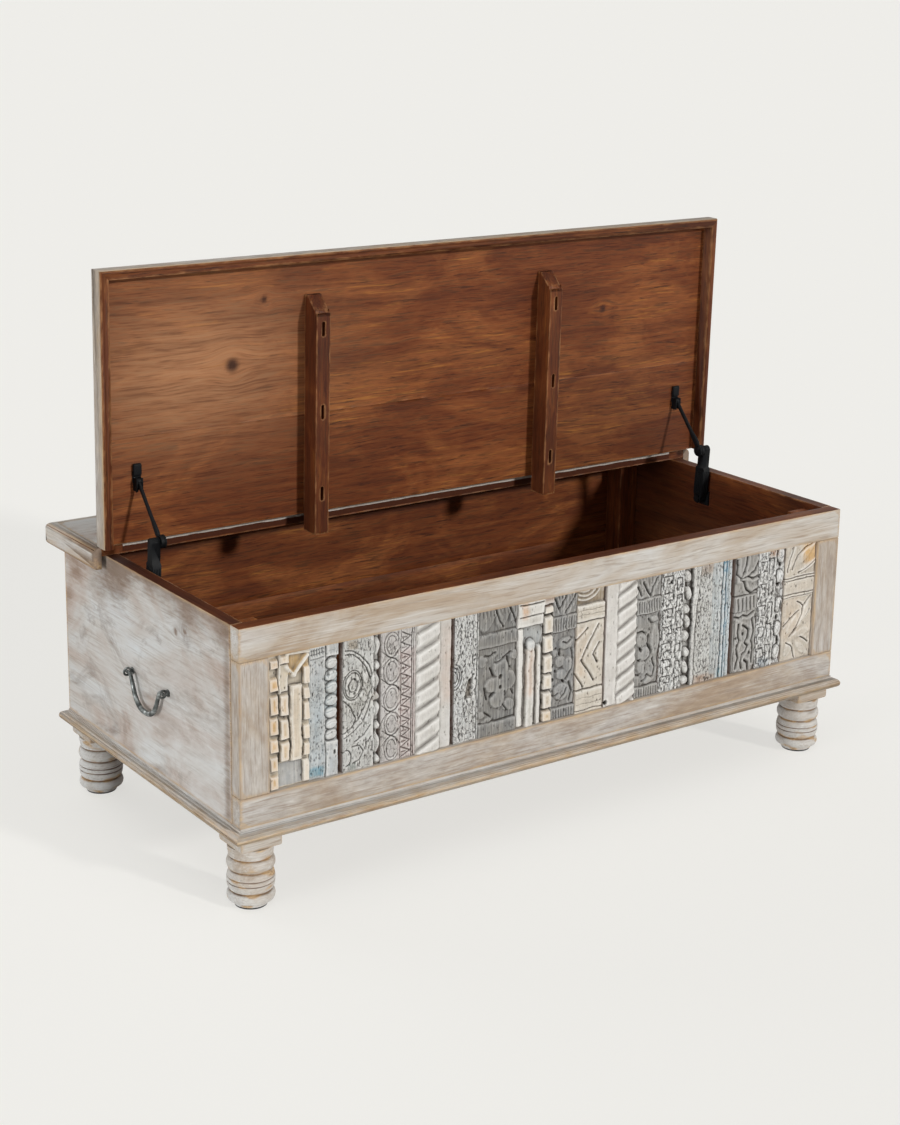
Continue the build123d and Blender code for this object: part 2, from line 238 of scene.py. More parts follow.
def spotPatterns(tree, *rows):
    # noises in the piece's own space; each row: spots per metre, detail, roughness
    place = put(tree, "TexCoord", out="Object")
    for scale, detail, rough in rows:
        yield put(tree, "TexNoise", {"Vector": place, "Scale": scale, "Detail": detail, "Roughness": rough})


def whitewashedMango(name, tones, streakTone, streaks, smudged):
    # mango wood brushed with thin white limewash: matt and cloudy, fine grain showing through, rubbed to tan on edges
    material, tree = newMaterial(name)
    fine, fibre, streak, blotch, smudge, ragged = grainPatterns(
        tree, 0.012, (65, 2.5, 2, 0.6, 0, 0),  # pores are finer; drawn this coarse to show in the picture
        (130, 4.2, 3, 0.65, 1.9, 0), (330, 20, 5, 0.62, 3.1, 0.4), (250, 125, 6, 0.6, 7.7, 0.9),
        (130, 80, 6, 0.66, 12.3, 1.2), (30, 8, 4, 0.65, 5.2, 0))
    pale, grime, rim = (put(tree, "Attribute", out="Fac", attribute_name=word) for word in ("pale", "grime", "rim"))
    layer = weighed(tree, blotch, 0.8, streak, 0.2)
    thick = put(tree, "MapRange", {0: smudge, 1: 0.36, 2: 0.56, 3: 1, 4: 0.25})
    limed = put(tree, "Math", {0: pale, 1: thick}, operation="MULTIPLY")
    tan = layOver(tree, "#9f7d55", (fine, 0.4, 0.6, 0, 1, "#c8ab82"))
    shade = put(tree, "ValToRGB", {0: layer}, stops=zip((0.36, 0.45, 0.54, 0.66), tones))
    # the grime mark lays brown over the wash: dirt, and painted shade in the grooves of the feet
    shade = layOver(tree, shade,
                    (streak, 0.52, 0.70, 0, streaks, streakTone),
                    (fibre, 0.52, 0.68, 0, streaks * 0.9, "#d9d9d6"),
                    (smudge, 0.54, 0.72, 0, smudged, "#7d7068"),
                    (fine, 0.52, 0.66, 0, streaks * 0.95, "#86725f"),
                    (limed, 0, 1, 0, 1, "#d8d9d8"),
                    (weighed(tree, ragged, 0.8, grime), 0.62, 1.15, 0, 0.85, "#76604e"),
                    (weighed(tree, ragged, 0.011, rim), 0.0040, 0.0105, 0.85, 0, tan))
    rough = put(tree, "MapRange", {0: layer, 1: 0.3, 2: 0.7, 3: 0.62, 4: 0.8})
    height = weighed(tree, fine, 0.7, fibre, 0.6)
    bump = put(tree, "Bump", {"Height": height, "Strength": 0.6, "Distance": 0.0008})
    surface(tree, {"Base Color": shade, "Roughness": rough, "Normal": bump, "IOR": 1.4})
    return material


def stainedMango(name, tones, gold):
    # mango wood with brown stain and thin satin lacquer: close grain, cloudy tones, dark flecks, a few golden streaks
    material, tree = newMaterial(name)
    fine, figure, broad, bright, fleck, ragged = grainPatterns(
        tree, 0.014, (50, 2.7, 2, 0.6, 0, 0),  # pore lines, drawn coarser than real to show
        (260, 14, 6, 0.66, 2.4, 0.3), (240, 120, 5, 0.6, 9.1, 1.0), (120, 4.5, 3, 0.6, 4.6, 0.3),
        (60, 4.2, 4, 0.68, 14.2, 0.5), (24, 7, 3, 0.6, 1.7, 0))
    pale, grime, rim = (put(tree, "Attribute", out="Fac", attribute_name=word) for word in ("pale", "grime", "rim"))
    mixed = weighed(tree, figure, 0.5, fine, 0.5)
    golden = put(tree, "MapRange", {0: bright, 1: 0.55, 2: 0.68})
    region = put(tree, "MapRange", {0: broad, 1: 0.50, 2: 0.62})
    sheen = put(tree, "Math", {0: golden, 1: region}, operation="MULTIPLY")
    # on the lid the pale mark is a painted pool of light, broken up by the grain and laid on as a paler tone; the grime
    # mark there holds painted shade as well as dark knots and seams
    wornAndLit = put(tree, "MapRange", {0: mixed, 1: 0.38, 2: 0.58, 3: 0.35, 4: 0.75})
    rubbedAndLit = put(tree, "Math", {0: pale, 1: wornAndLit}, operation="MULTIPLY")
    shade = put(tree, "ValToRGB", {0: mixed}, stops=zip((0.38, 0.47, 0.54, 0.64), tones))
    shade = layOver(tree, shade,
                    (broad, 0.40, 0.60, 0.5, 0, tones[0]),
                    (broad, 0.50, 0.68, 0, 0.4, tones[3]),
                    (sheen, 0, 1, 0, 0.5, gold),
                    (fleck, 0.58, 0.68, 0, 0.8, "#2b1409"),
                    (fine, 0.51, 0.64, 0, 0.65, "#33190b"),
                    (rubbedAndLit, 0, 1, 0, 1, "#bb8a63"),
                    (grime, 0, 2, 0, 1.8, "#2a110a"),
                    (weighed(tree, ragged, 0.008, rim), 0.0030, 0.0058, 0.7, 0, "#a5754c"))
    rough = put(tree, "MapRange", {0: mixed, 1: 0.3, 2: 0.7, 3: 0.62, 4: 0.5})
    bump = put(tree, "Bump", {"Height": mixed, "Strength": 0.35, "Distance": 0.0006})
    surface(tree, {"Base Color": shade, "Roughness": rough, "Normal": bump, "IOR": 1.3})
    return material


def crackledPaint(name):
    # old oil paint on carved teak: dry, crazed into small flakes, dirt and painted shade in the cuts, rubbed paint and
    # painted highlights on the ridges
    material, tree = newMaterial(name)
    patchy, speck, bend = spotPatterns(tree, (38, 4, 0.65), (330, 3, 0.7), (160, 3, 0.5))
    paint = put(tree, "Attribute", out="Color", attribute_name="paint")
    crazed, ridge, cut, bare = (put(tree, "Attribute", out="Fac", attribute_name=word)
                                for word in ("crazed", "ridge", "cut", "bare"))
    place = put(tree, "TexCoord", out="Object")
    tall = put(tree, "Mapping", {"Vector": place, "Scale": (190, 190, 85)})  # flakes 5 by 12 mm
    bent = put(tree, "VectorMath", {0: bend.node.outputs["Color"], 1: (0.9, 0.9, 0.9), 2: tall},
               operation="MULTIPLY_ADD")
    flakes = put(tree, "TexVoronoi", {"Vector": bent, "Scale": 1}, "Distance", feature="DISTANCE_TO_EDGE")
    fibres = put(tree, "Mapping", {"Vector": place, "Scale": (520, 520, 22)})
    grain = put(tree, "TexNoise", {"Vector": fibres, "Scale": 1, "Detail": 3})
    dry = put(tree, "MapRange", {0: patchy, 1: 0.3, 2: 0.62, 3: 0.4, 4: 1.25})
    reach = put(tree, "Math", {0: dry, 1: crazed}, operation="MULTIPLY")
    wide = put(tree, "Math", {0: reach, 1: 0.13, 2: 0.02}, operation="MULTIPLY_ADD")
    rift = put(tree, "MapRange", {0: flakes, 1: 0.015, 2: wide, 3: 1, 4: 0})
    cracked = put(tree, "MapRange", {0: reach, 1: 0.15, 2: 0.6})
    crack = put(tree, "Math", {0: rift, 1: cracked}, operation="MULTIPLY")
    chip = put(tree, "MapRange", {0: speck, 1: 0.60, 2: 0.70})
    brittle = put(tree, "MapRange", {0: crazed, 1: 0, 2: 0.8, 3: 0.25, 4: 0.9})
    pit = put(tree, "Math", {0: chip, 1: brittle}, operation="MULTIPLY")
    rawWood = layOver(tree, "#6d4a38", (grain, 0, 1, 0, 1, "#94705a"))
    shade = layOver(tree, paint,
                    (patchy, 0.35, 0.65, 0, 0.32, "#8d8579"),
                    (grain, 0.42, 0.72, 0, 0.28, "#e6e3db"),
                    (crack, 0, 1, 0, 0.85, "#3d3833"),
                    (pit, 0, 1, 0, 1, "#55504a"),
                    # the ridge mark whitens raised parts with a painted highlight as well as rubbed paint; the cut mark
                    # darkens hollows with painted shade as well as dirt
                    (ridge, 0, 1, 0, 0.52, "#edece8"),
                    (cut, 0, 1, 0, 0.95, "#39322c"),
                    (bare, 0, 1, 0, 1, rawWood))
    height = weighed(tree, crack, -1, speck, 0.35)
    bump = put(tree, "Bump", {"Height": height, "Strength": 0.7, "Distance": 0.0007})
    surface(tree, {"Base Color": shade, "Roughness": 0.78, "Normal": bump, "IOR": 1.45})
    return material


def wroughtIron(name):
    # forged mild steel bar, waxed dark and rubbed bright by hands: smooth grey with soft silvery patches
    material, tree = newMaterial(name)
    hammered, grit = spotPatterns(tree, (95, 2, 0.5), (700, 2, 0.5))
    shade = put(tree, "ValToRGB", {0: hammered}, stops=((0.36, "#3d403f"), (0.54, "#6d7170"), (0.68, "#a6aaa9")))
    rough = put(tree, "MapRange", {0: hammered, 1: 0.3, 2: 0.7, 3: 0.5, 4: 0.3})
    bump = put(tree, "Bump", {"Height": weighed(tree, grit, 0.25, hammered), "Strength": 0.4, "Distance": 0.0008})
    surface(tree, {"Base Color": shade, "Roughness": rough, "Normal": bump, "Metallic": 0.75})
    return material


def hingeLeaf(name):
    # plated steel leaf stained over with the wood: brown below, grey above, with a thin bright line near its upper edge
    material, tree = newMaterial(name)
    patchy, grit = spotPatterns(tree, (35, 4, 0.5), (420, 2, 0.5))
    height = put(tree, "SeparateXYZ", {0: put(tree, "TexCoord", out="Object")}, "Z")
    brown, grey, bright = (layOver(tree, dark, (grit, 0, 1, 0, 1, light)) for dark, light in
                           (("#36180b", "#552b17"), ("#5d544b", "#7d746a"), ("#a59a90", "#d8d2ca")))
    line = put(tree, "MapRange", {0: weighed(tree, patchy, 0.004, height), 1: 0.4442, 2: 0.4448})
    below = put(tree, "MapRange", {0: height, 1: 0.4463, 2: 0.4475, 3: 1, 4: 0})
    wornAndLit = put(tree, "Math", {0: line, 1: below}, operation="MULTIPLY")
    shade = layOver(tree, brown, (height, 0.4463, 0.4475, 0, 1, grey), (wornAndLit, 0, 1, 0, 1, bright))
    surface(tree, {"Base Color": shade, "Roughness": 0.55, "IOR": 1.25})
    return material


def plainFinish(name, dark, light, grain, roughness, metal, gloss=1.5):
    # moulded or plated part: two close tones in a fine grit, so it never looks like flat paint
    material, tree = newMaterial(name)
    grit, cloud = spotPatterns(tree, (1000 / grain, 3, 0.5), (60, 2, 0.5))
    shade = layOver(tree, dark, (weighed(tree, grit, 0.5, cloud, 0.5), 0.35, 0.65, 0, 1, light))
    rough = put(tree, "MapRange", {0: cloud, 1: 0.3, 2: 0.7, 3: roughness - 0.06, 4: roughness + 0.08})
    bump = put(tree, "Bump", {"Height": grit, "Strength": 0.2, "Distance": 0.0003})
    surface(tree, {"Base Color": shade, "Roughness": rough, "Normal": bump, "Metallic": metal, "IOR": gloss})
    return material


whitewash = whitewashedMango("whitewashedMango", ("#917b6b", "#b1a298", "#c1bdb8", "#cdd0d1"), "#a08877", 0.32, 0.8)
whitewashFront = whitewashedMango("whitewashedMangoFront", ("#ab9985", "#b8ada0", "#c2bdb6", "#cac9c7"), "#a6907a",
                                  0.45, 0.25)
stain = stainedMango("stainedMango", ("#50240d", "#743b19", "#864a23", "#9e6337"), "#b87a35")
stainDark = stainedMango("stainedMangoDark", ("#3d1908", "#5d2c12", "#703b1a", "#834b25"), "#925b28")
paintedCarving = crackledPaint("crackledPaintOnTeak")
iron = wroughtIron("waxedWroughtIron")
blackStay = plainFinish("blackLacqueredSteel", "#060708", "#0e1013", 1.2, 0.6, 0, 1.25)
hingeSteel = hingeLeaf("stainedHingeSteel")
zinc = plainFinish("zincPlatedSteel", "#5d5a55", "#84807a", 1.5, 0.45, 1)
nylon = plainFinish("blackNylon", "#121212", "#232323", 1.5, 0.55, 0)
print("materials made")


# boards

grainStep = np.array([1.37, 0.61, 0.29])  # every board starts at its own place in the pattern
knotWood = dict(reach=2.6, pull=0.72, dark=1.7, fade=1.4)  # the grain bends round a knot and darkens toward it


def woodMarks(piece, along, shift, rim, grime=0, knots=(), pale=0):
    # what the wood materials read: the grain along one axis, distance from worn edges, dirt with painted shade, and
    # thick wash with a painted pool of light
    places = points(piece)
    order = [along] + [a for a in range(3) if a != along]
    grain = places[:, order]
    for centre, reach in knots:
        away = places - np.array(centre)
        near = np.sqrt((away ** 2).sum(1))
        pull = np.exp(-(near / (reach * knotWood["reach"])) ** 2) * knotWood["pull"]
        grain[:, 1:] -= away[:, order[1:]] * pull[:, None]
        grime = np.maximum(grime, np.clip(knotWood["dark"] - near / reach * knotWood["fade"], 0, 1))
    mark(piece, "grain", grain + grainStep * shift, "FLOAT_VECTOR")
    for name, values in (("rim", rim), ("grime", grime), ("pale", pale)):
        mark(piece, name, values)


def boxSides(places, low, high):
    return np.minimum(places - np.array(low), np.array(high) - places)


def boxRim(places, low, high):
    # distance from the nearest edge of the box, for points on its faces
    return np.sort(np.maximum(boxSides(places, low, high), 0), axis=1)[:, 1]


def board(name, low, high, along, shift, rounding=0.0014, step=0.012, wave=0.00025, whole=None,
          grimeAt=None, paleAt=None, knots=()):
    # whole is the panel this board belongs to: wear follows its edges, and a dark line the glued seams
    low, high = Vector(low), Vector(high)
    piece = block(name, low, high, rounding)
    cutEvenly(piece, low, high, step)
    places = points(piece)
    rim = boxRim(places, *(whole or (low, high)))
    grime = grimeAt(places) if grimeAt else 0
    if whole:
        near = np.clip(1 - boxRim(places, low, high) / (rounding * 0.9), 0, 1)
        grime = np.maximum(grime, np.where(rim > rounding * 2, near * 0.55, 0))
    woodMarks(piece, along, shift, rim, grime, knots, paleAt(places) if paleAt else 0)
    each, face = np.arange(len(places)), boxSides(places, low, high).argmin(1)
    inward = np.sign((np.array(low) + np.array(high)) / 2 - places)[each, face]
    swell = np.array([noise.noise(Vector(p) * 23 + Vector((shift * 3.1, 0, 0))) for p in places])
    places[each, face] += inward * (0.5 + 0.5 * swell) * wave  # planed by hand, never quite flat
    movePoints(piece, places)
    smoothEdges(piece)
    return piece


def planks(name, low, high, along, across, shares, shift, **looks):
    # several boards glued edge to edge, each with its own grain
    pieces, start = [], low[across]
    for number, share in enumerate(shares):
        a, b = list(low), list(high)
        a[across] = start
        start = b[across] = start + (high[across] - low[across]) * share / sum(shares)
        pieces.append(board(name, a, b, along, shift + number * 2.3, rounding=0.00025, whole=(low, high), **looks))
    return joinAll(name, pieces)


def cornerSet(name, node, size, along, shift, **looks):
    # four square posts in the corners of the node's box
    low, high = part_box(node)
    posts = []
    for number in range(4):
        x = low.x if number % 2 == 0 else high.x - size
        y = low.y if number < 2 else high.y - size
        posts.append(board(name, (x, y, low.z), (x + size, y + size, high.z), along, shift + number, **looks))
    return joinAll(name, posts)


def paintFaces(piece, outside, inside, isOutside):
    piece.data.materials.clear()
    for material in (outside, inside):
        piece.data.materials.append(material)
    slots = np.where(isOutside(triples(piece.data.polygons, "normal")), 0, 1).astype(np.int32)
    piece.data.polygons.foreach_set("material_index", slots)
    piece.data.update()


frontFrame = {  # faces that look up more than stainedFrom are stained: the chest's rim, not the ledge under the strips
    "front_top_rail": dict(along=0, shift=1, dirtAndShade=0.06, stainedFrom=0.7),
    "front_bottom_rail": dict(along=0, shift=2, dirtAndShade=0.37, stainedFrom=2),
    "front_left_stile": dict(along=2, shift=3, dirtAndShade=0.36, stainedFrom=2),
    "front_right_stile": dict(along=2, shift=4, dirtAndShade=0.38, stainedFrom=2),
}
for node, look in frontFrame.items():
    piece = board("wash_" + node, *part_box(node), look["along"], look["shift"], rounding=0.0016,
                  grimeAt=lambda places: look["dirtAndShade"])
    paintFaces(piece, whitewashFront, stainDark, lambda n: (n[:, 1] < 0.6) & (n[:, 2] < look["stainedFrom"]))
    standFor(piece, "chest", "whitewashed_wood", node)

piece = board("backing_board_stained", *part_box("front_backing_board"), 0, 5)
standFor(piece, "chest", "stained_wood", "front_backing_board", stainDark)

sidePanel = dict(front=-0.2585, top=0.431)
sideBoards = {
    "left_side_panel": dict(shift=11, knots=[((-0.578, -0.098, 0.374), 0.006), ((-0.578, -0.126, 0.381), 0.005)]),
    "right_side_panel": dict(shift=20),
}


def sideGrime(places):
    # brown shows through near the top of the sides and beside the joint with the front frame
    top = np.clip(1 - (sidePanel["top"] - places[:, 2]) / 0.12, 0, 1) * 0.62
    front = np.exp(-((places[:, 1] - sidePanel["front"] - 0.010) / 0.013) ** 2) * 0.6
    patch = np.array([noise.noise(Vector(p) * 9) for p in places])
    return np.maximum(np.maximum(top * (0.7 + patch * 2.2), patch * 0.55), front)


def sidePale(places):
    # the wash is made lighter low down and toward the front
    low = np.clip((0.36 - places[:, 2]) / 0.16, 0, 1)
    return low * np.clip((0.22 - places[:, 1]) / 0.30, 0, 1) * 0.62


for node, look in sideBoards.items():
    piece = planks("wash_" + node, *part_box(node), along=1, across=2, shares=(1,), step=0.005, grimeAt=sideGrime,
                   paleAt=sidePale, **look)
    outSide = -1 if node.startswith("left") else 1
    paintFaces(piece, whitewash, stainDark, lambda n: (n[:, 0] * outSide > -0.6) & (n[:, 2] < 0.7))
    standFor(piece, "chest", "whitewashed_wood", node)

backPanel = dict(along=0, across=2, shares=(0.44, 0.40, 0.16), shift=31)
piece = planks("back_panel_boards", *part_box("back_panel"), **backPanel)
paintFaces(piece, whitewash, stain, lambda n: n[:, 1] > 0.5)
standFor(piece, "chest", "stained_wood", "back_panel")

floorPanel = dict(along=0, across=1, shares=(1, 1.1, 0.9, 1), shift=41)
piece = planks("floor_boards", *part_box("floor_panel"), **floorPanel)
standFor(piece, "chest", "stained_wood", "floor_panel", stainDark)

cornerPost = dict(size=0.040, along=2, shift=51, rounding=0.002)
piece = cornerSet("corner_post_set", "corner_posts", **cornerPost)
standFor(piece, "chest", "stained_wood", "corner_posts", stain)
print("boards of the chest made")


# mouldings and edgings follow the solids' own sections, so they start from a copy of the solid

def solidCopy(node, name, material):
    piece = bpy.data.objects.new(name, nodes[node].data.copy())
    bpy.context.scene.collection.objects.link(piece)
    editAll(piece, bpy.ops.mesh.remove_doubles, threshold=0.00002)
    piece.data.materials.clear()
    piece.data.materials.append(material)
    return piece


moulding = dict(bottom=0.114, walls=dict(front=-0.2835, back=0.2765, left=-0.578, right=0.578), noseFrom=0.0055,
                noseMiddle=0.007, coveAbove=0.0148, coveWithin=0.0048)
for number, (side, wall) in enumerate(moulding["walls"].items()):
    node = "base_moulding_" + side
    along = number // 2  # front and back run along x, the sides along y
    piece = solidCopy(node, "wash_" + node, whitewashFront)
    cutAlong(piece, along, 24, 0.3)
    places = points(piece)
    outward = math.copysign(1, wall) * places[:, 1 - along] - abs(wall)
    rise = places[:, 2] - moulding["bottom"]
    wornAndLit = np.abs(rise - moulding["noseMiddle"]) * 0.5 - 0.0006
    cove = (rise > moulding["coveAbove"]) & (outward < moulding["coveWithin"])
    woodMarks(piece, along, 61 + number, np.where(outward > moulding["noseFrom"], wornAndLit, 0.012),
              np.where(cove, 0.16, 0), pale=0.45)
    smoothEdges(piece, 50)
    standFor(piece, "chest", "whitewashed_wood", node)

footBlock = dict(size=0.068, along=0, shift=71, rounding=0.004, step=0.008)
piece = cornerSet("wash_foot_blocks", "foot_blocks", **footBlock)
standFor(piece, "chest", "whitewashed_wood", "foot_blocks", whitewashFront)

turnedFoot = dict(
    sides=72, rings=150, bottom=0.003, top=0.094,
    # height and radius in millimetres, from the glide up to the block
    outline=[(3, 25.6), (8.0, 26.2), (8.8, 27.0), (9.4, 31.5), (10.6, 33.9), (13, 35.2), (16, 35.5), (19.5, 34.9),
             (22, 33.2), (23.6, 30.2), (24.2, 28.6), (25.0, 28.6), (25.8, 31.2), (28, 33.6), (32, 34.8), (36.8, 35.2),
             (38, 33.2), (39.2, 35.3), (44, 35.3), (45.4, 33.2), (46.6, 34.9), (50.5, 34), (54, 32.2), (55.8, 29.6),
             (56.4, 28.6), (57.2, 28.6), (58.2, 32), (60.5, 34.4), (64, 35.4), (67.5, 35.5), (71, 34.8), (74, 33),
             (75.8, 30.2), (76.4, 29.2), (77.2, 29.2), (78.2, 32.6), (85, 33.4), (90, 34), (94, 34.2)],
    scratches=(13.8, 28.6, 31.6, 49, 61.2, 70.5, 82, 87.5),  # fine lines cut on the lathe
    # height, reach and darkness of the darkening in the grooves: dirt with painted shade
    dirtAndShade=((8.6, 1.2, 0.9), (24.6, 1.9, 1.0), (38, 1.0, 0.8), (45.4, 1.0, 0.8), (56.8, 1.9, 1.0), (76.8, 1.7, 1.0)),
    wash={"foot_front_left": 0.5, "foot_front_right": 0.9, "foot_back_left": 0.9, "foot_back_right": 0.6},
)


def footShape(name, centre, shift, wash):
    deselectAll()
    bottom, top = turnedFoot["bottom"], turnedFoot["top"]
    bpy.ops.mesh.primitive_cylinder_add(vertices=turnedFoot["sides"], radius=1, depth=top - bottom,
                                        location=(0, 0, (top + bottom) / 2))
    piece = bpy.context.object
    piece.name = name
    bpy.ops.object.transform_apply(location=True)
    cutAlong(piece, 2, turnedFoot["rings"], 0.05)
    places = points(piece)
    height = places[:, 2] * 1000
    around = np.arctan2(places[:, 1], places[:, 0])
    radius = np.interp(height, *np.array(turnedFoot["outline"]).T)
    for line in turnedFoot["scratches"]:
        radius -= 0.55 * np.exp(-((height - line) / 0.7) ** 2)
    radius += 0.12 * np.sin(around * 2 + shift)
    ring = np.hypot(places[:, 0], places[:, 1])
    places[:, :2] *= (radius / 1000 / np.maximum(ring, 1e-9))[:, None]
    places[:, :2] += np.array(centre)[:2]
    movePoints(piece, places)
    crest = np.clip((radius - 31.0) / 3.6, 0, 1)
    # the grooves are darkened: dirt with painted shade
    dirtAndShade = np.max([np.clip(1.3 - np.abs(height - middle) / reach, 0, 1) * dark
                   for middle, reach, dark in turnedFoot["dirtAndShade"]], axis=0)
    patch = np.array([noise.noise(Vector((math.cos(a) * 1.4, math.sin(a) * 1.4, h * 0.09 + shift)))
                      for a, h in zip(around, height)])
    woodMarks(piece, 0, shift, 0.0058 + crest * 0.0050 - np.clip(-patch, 0, 1) * 0.021 - dirtAndShade * 0.0035,
              dirtAndShade * 0.95 + np.clip(patch, 0, 1) * 0.45, pale=wash)
    smoothEdges(piece, 45)
    return piece


for number, (node, wash) in enumerate(turnedFoot["wash"].items()):
    low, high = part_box(node)
    piece = footShape("wash_" + node, (low + high) / 2, 81 + 3 * number, wash)
    standFor(piece, "chest", "whitewashed_wood", node, whitewashFront)
print("moulding and feet made")


# fixed rear board and the lid, with their edgings

rearBoard = dict(along=0, across=1, shares=(0.55, 0.45), shift=101)
piece = planks("rear_board_planks", *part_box("rear_top_board"), **rearBoard)
paintFaces(piece, whitewash, stainDark, lambda n: (n[:, 2] > 0.5) | (n[:, 1] > 0.6))
standFor(piece, "chest", "whitewashed_wood", "rear_top_board")

edging = dict(side=0.586, front=-0.2895, back=0.2825,  # inner faces
              corners=((0.0135, 0.4445), (0.0135, 0.4125), (0.0, 0.411)),  # rubbed edges: out from the face, height
              shifts=dict(rear_lipping_back=111, rear_side_lippings=112,
                          lid_lipping_front=121, lid_lipping_left=122, lid_lipping_right=123))
for node, shift in edging["shifts"].items():
    onLid = node.startswith("lid")
    piece = solidCopy(node, "wash_" + node, whitewashFront)
    if onLid:
        piece.data.transform(closeTurn)
    along = 0 if node.endswith(("front", "back")) else 1
    cutAlong(piece, along, 16, 0.1)
    places, normals = points(piece), triples(piece.data.polygons, "normal")
    if node.endswith("front"):
        outward, facing = edging["front"] - places[:, 1], -normals[:, 1]
    elif node.endswith("back"):
        outward, facing = places[:, 1] - edging["back"], normals[:, 1]
    else:
        outward = np.abs(places[:, 0]) - edging["side"]
        facing = normals[:, 0] * np.sign(triples(piece.data.polygons, "center")[:, 0])
    rim = np.min([np.hypot(outward - u, places[:, 2] - z) for u, z in edging["corners"]], axis=0)
    grime = np.full(len(places), 0.42 if onLid else 0.14)
    if node == "rear_side_lippings":
        grime[places[:, 1] < places[:, 1].min() + 0.002] = 0.95  # dark end grain beside the hinge
    woodMarks(piece, along, shift, np.maximum(rim - 0.0012, 0), grime)
    cutEnd = (np.abs(normals[:, along]) > 0.5) & (not onLid)
    paintFaces(piece, whitewashFront, stain, lambda n: (facing > 0.86) | (n[:, 2] > 0.6) | cutEnd)
    if onLid:
        piece.data.transform(openTurn)
    piece.data.update()
    smoothEdges(piece, 50)
    standFor(piece, "lid" if onLid else "chest", "whitewashed_wood", node)

lidPanel = dict(low=(-0.586, -0.2895, 0.4314), high=(0.586, 0.1195, 0.446),  # as it lies when closed
                along=0, across=1, shares=(0.6, 0.4), shift=132, step=0.0045, wave=0.0002,
                knots=[((-0.371, -0.137, 0.4314), 0.012), ((0.36, -0.16, 0.4314), 0.007),
                       ((-0.315, -0.235, 0.4314), 0.006)])


def lidPaintedLight(places):
    # the left upper part of the underside is made paler: a painted pool of light
    return 0.95 * np.exp(-((places[:, 0] + 0.44) / 0.20) ** 2 - ((places[:, 1] + 0.14) / 0.12) ** 2)


def lidPaintedShade(places):
    # and the right part near the hinge is darkened with painted shade
    return 0.32 * np.exp(-((places[:, 0] - 0.42) / 0.20) ** 2 - ((places[:, 1] - 0.05) / 0.13) ** 2)


piece = planks("lid_boards", paleAt=lidPaintedLight, grimeAt=lidPaintedShade, **lidPanel)
paintFaces(piece, whitewash, stain, lambda n: n[:, 2] > 0.5)
piece.data.transform(openTurn)
piece.data.update()
standFor(piece, "lid", "stained_wood", "lid_panel")

batten = dict(middle=0.229, width=0.025, depth=0.036, front=-0.2365, rear=0.1465, under=0.4314, tailFrom=0.1195,
              relief=0.0015, slope=(0.027, 0.030), slotLength=0.024, slotWidth=0.006, slotDepth=0.020,
              slotRows=(0.0795, -0.0535, -0.1865), edge=0.0009)


def cutSlot(piece, x, y, z, half):
    # a screw slot: a drilled hole drawn out lengthways
    deselectAll()
    bpy.ops.mesh.primitive_cylinder_add(vertices=24, radius=batten["slotWidth"] / 2, depth=2 * batten["slotDepth"],
                                        location=(x, y, z))
    cutter = bpy.context.object
    bpy.ops.object.transform_apply(location=True)
    ends = points(cutter)
    ends[:, 1] += np.where(ends[:, 1] > y + 1e-6, half, np.where(ends[:, 1] < y - 1e-6, -half, 0))
    movePoints(cutter, ends)
    editOnly(piece)
    slot = piece.modifiers.new("slot", "BOOLEAN")
    slot.operation, slot.object = "DIFFERENCE", cutter
    bpy.ops.object.modifier_apply(modifier=slot.name)
    bpy.data.objects.remove(cutter)


def battenShape(name, middle, shift):
    bottom = batten["under"] - batten["depth"]
    low = Vector((middle - batten["width"] / 2, batten["front"], bottom))
    high = Vector((middle + batten["width"] / 2, batten["rear"], batten["under"]))
    piece = block(name, low, high)
    cutEvenly(piece, low, high, 0.005)
    places = points(piece)
    tail = (places[:, 1] > batten["tailFrom"]) & (places[:, 2] > batten["under"] - 0.001)
    places[tail, 2] -= batten["relief"]
    movePoints(piece, places)
    run, fall = batten["slope"]
    editAll(piece, bpy.ops.mesh.bisect, plane_co=(middle, low.y, bottom + fall), plane_no=(0, -fall, -run),
            clear_outer=True, use_fill=True)
    half = (batten["slotLength"] - batten["slotWidth"]) / 2
    for y in batten["slotRows"]:
        cutSlot(piece, middle, y, bottom, half)
    soft = piece.modifiers.new("worn edges", "BEVEL")
    soft.width, soft.segments = batten["edge"], 2
    soft.limit_method, soft.angle_limit = "ANGLE", math.radians(28)
    editOnly(piece)
    bpy.ops.object.modifier_apply(modifier=soft.name)
    places = points(piece)
    offSlope = ((places[:, 1] - low.y) * fall + (places[:, 2] - bottom - fall) * run) / math.hypot(run, fall)
    sideways = np.minimum(places[:, 0] - low.x, high.x - places[:, 0])
    rim = np.minimum(boxRim(places, low, high), np.maximum(np.abs(offSlope), sideways))
    for y in batten["slotRows"]:
        beyond = np.maximum(np.abs(places[:, 1] - y) - half, 0)
        away = np.abs(np.hypot(places[:, 0] - middle, beyond) - batten["slotWidth"] / 2)
        rim = np.where(places[:, 2] < bottom + 0.002, np.minimum(rim, away), rim)
    woodMarks(piece, 1, shift, np.maximum(rim - 0.0004, 0))
    piece.data.transform(openTurn)
    smoothEdges(piece, 40)
    return piece


for number, (node, side) in enumerate((("lid_batten_left", -1), ("lid_batten_right", 1))):
    piece = battenShape("stained_" + node, side * batten["middle"], 141 + number)
    standFor(piece, "lid", "stained_wood", node, stainDark)
print("rear board, lid and battens made")


# metalwork

for node, finish in (("hinge_fixed_leaf", hingeSteel), ("hinge_lid_leaf", hingeSteel), ("hinge_pin", hingeSteel),
                     ("batten_screws", zinc), ("stay_wall_plates", blackStay), ("foot_glides", nylon)):
    nodes[node].data.materials.clear()
    nodes[node].data.materials.append(finish)


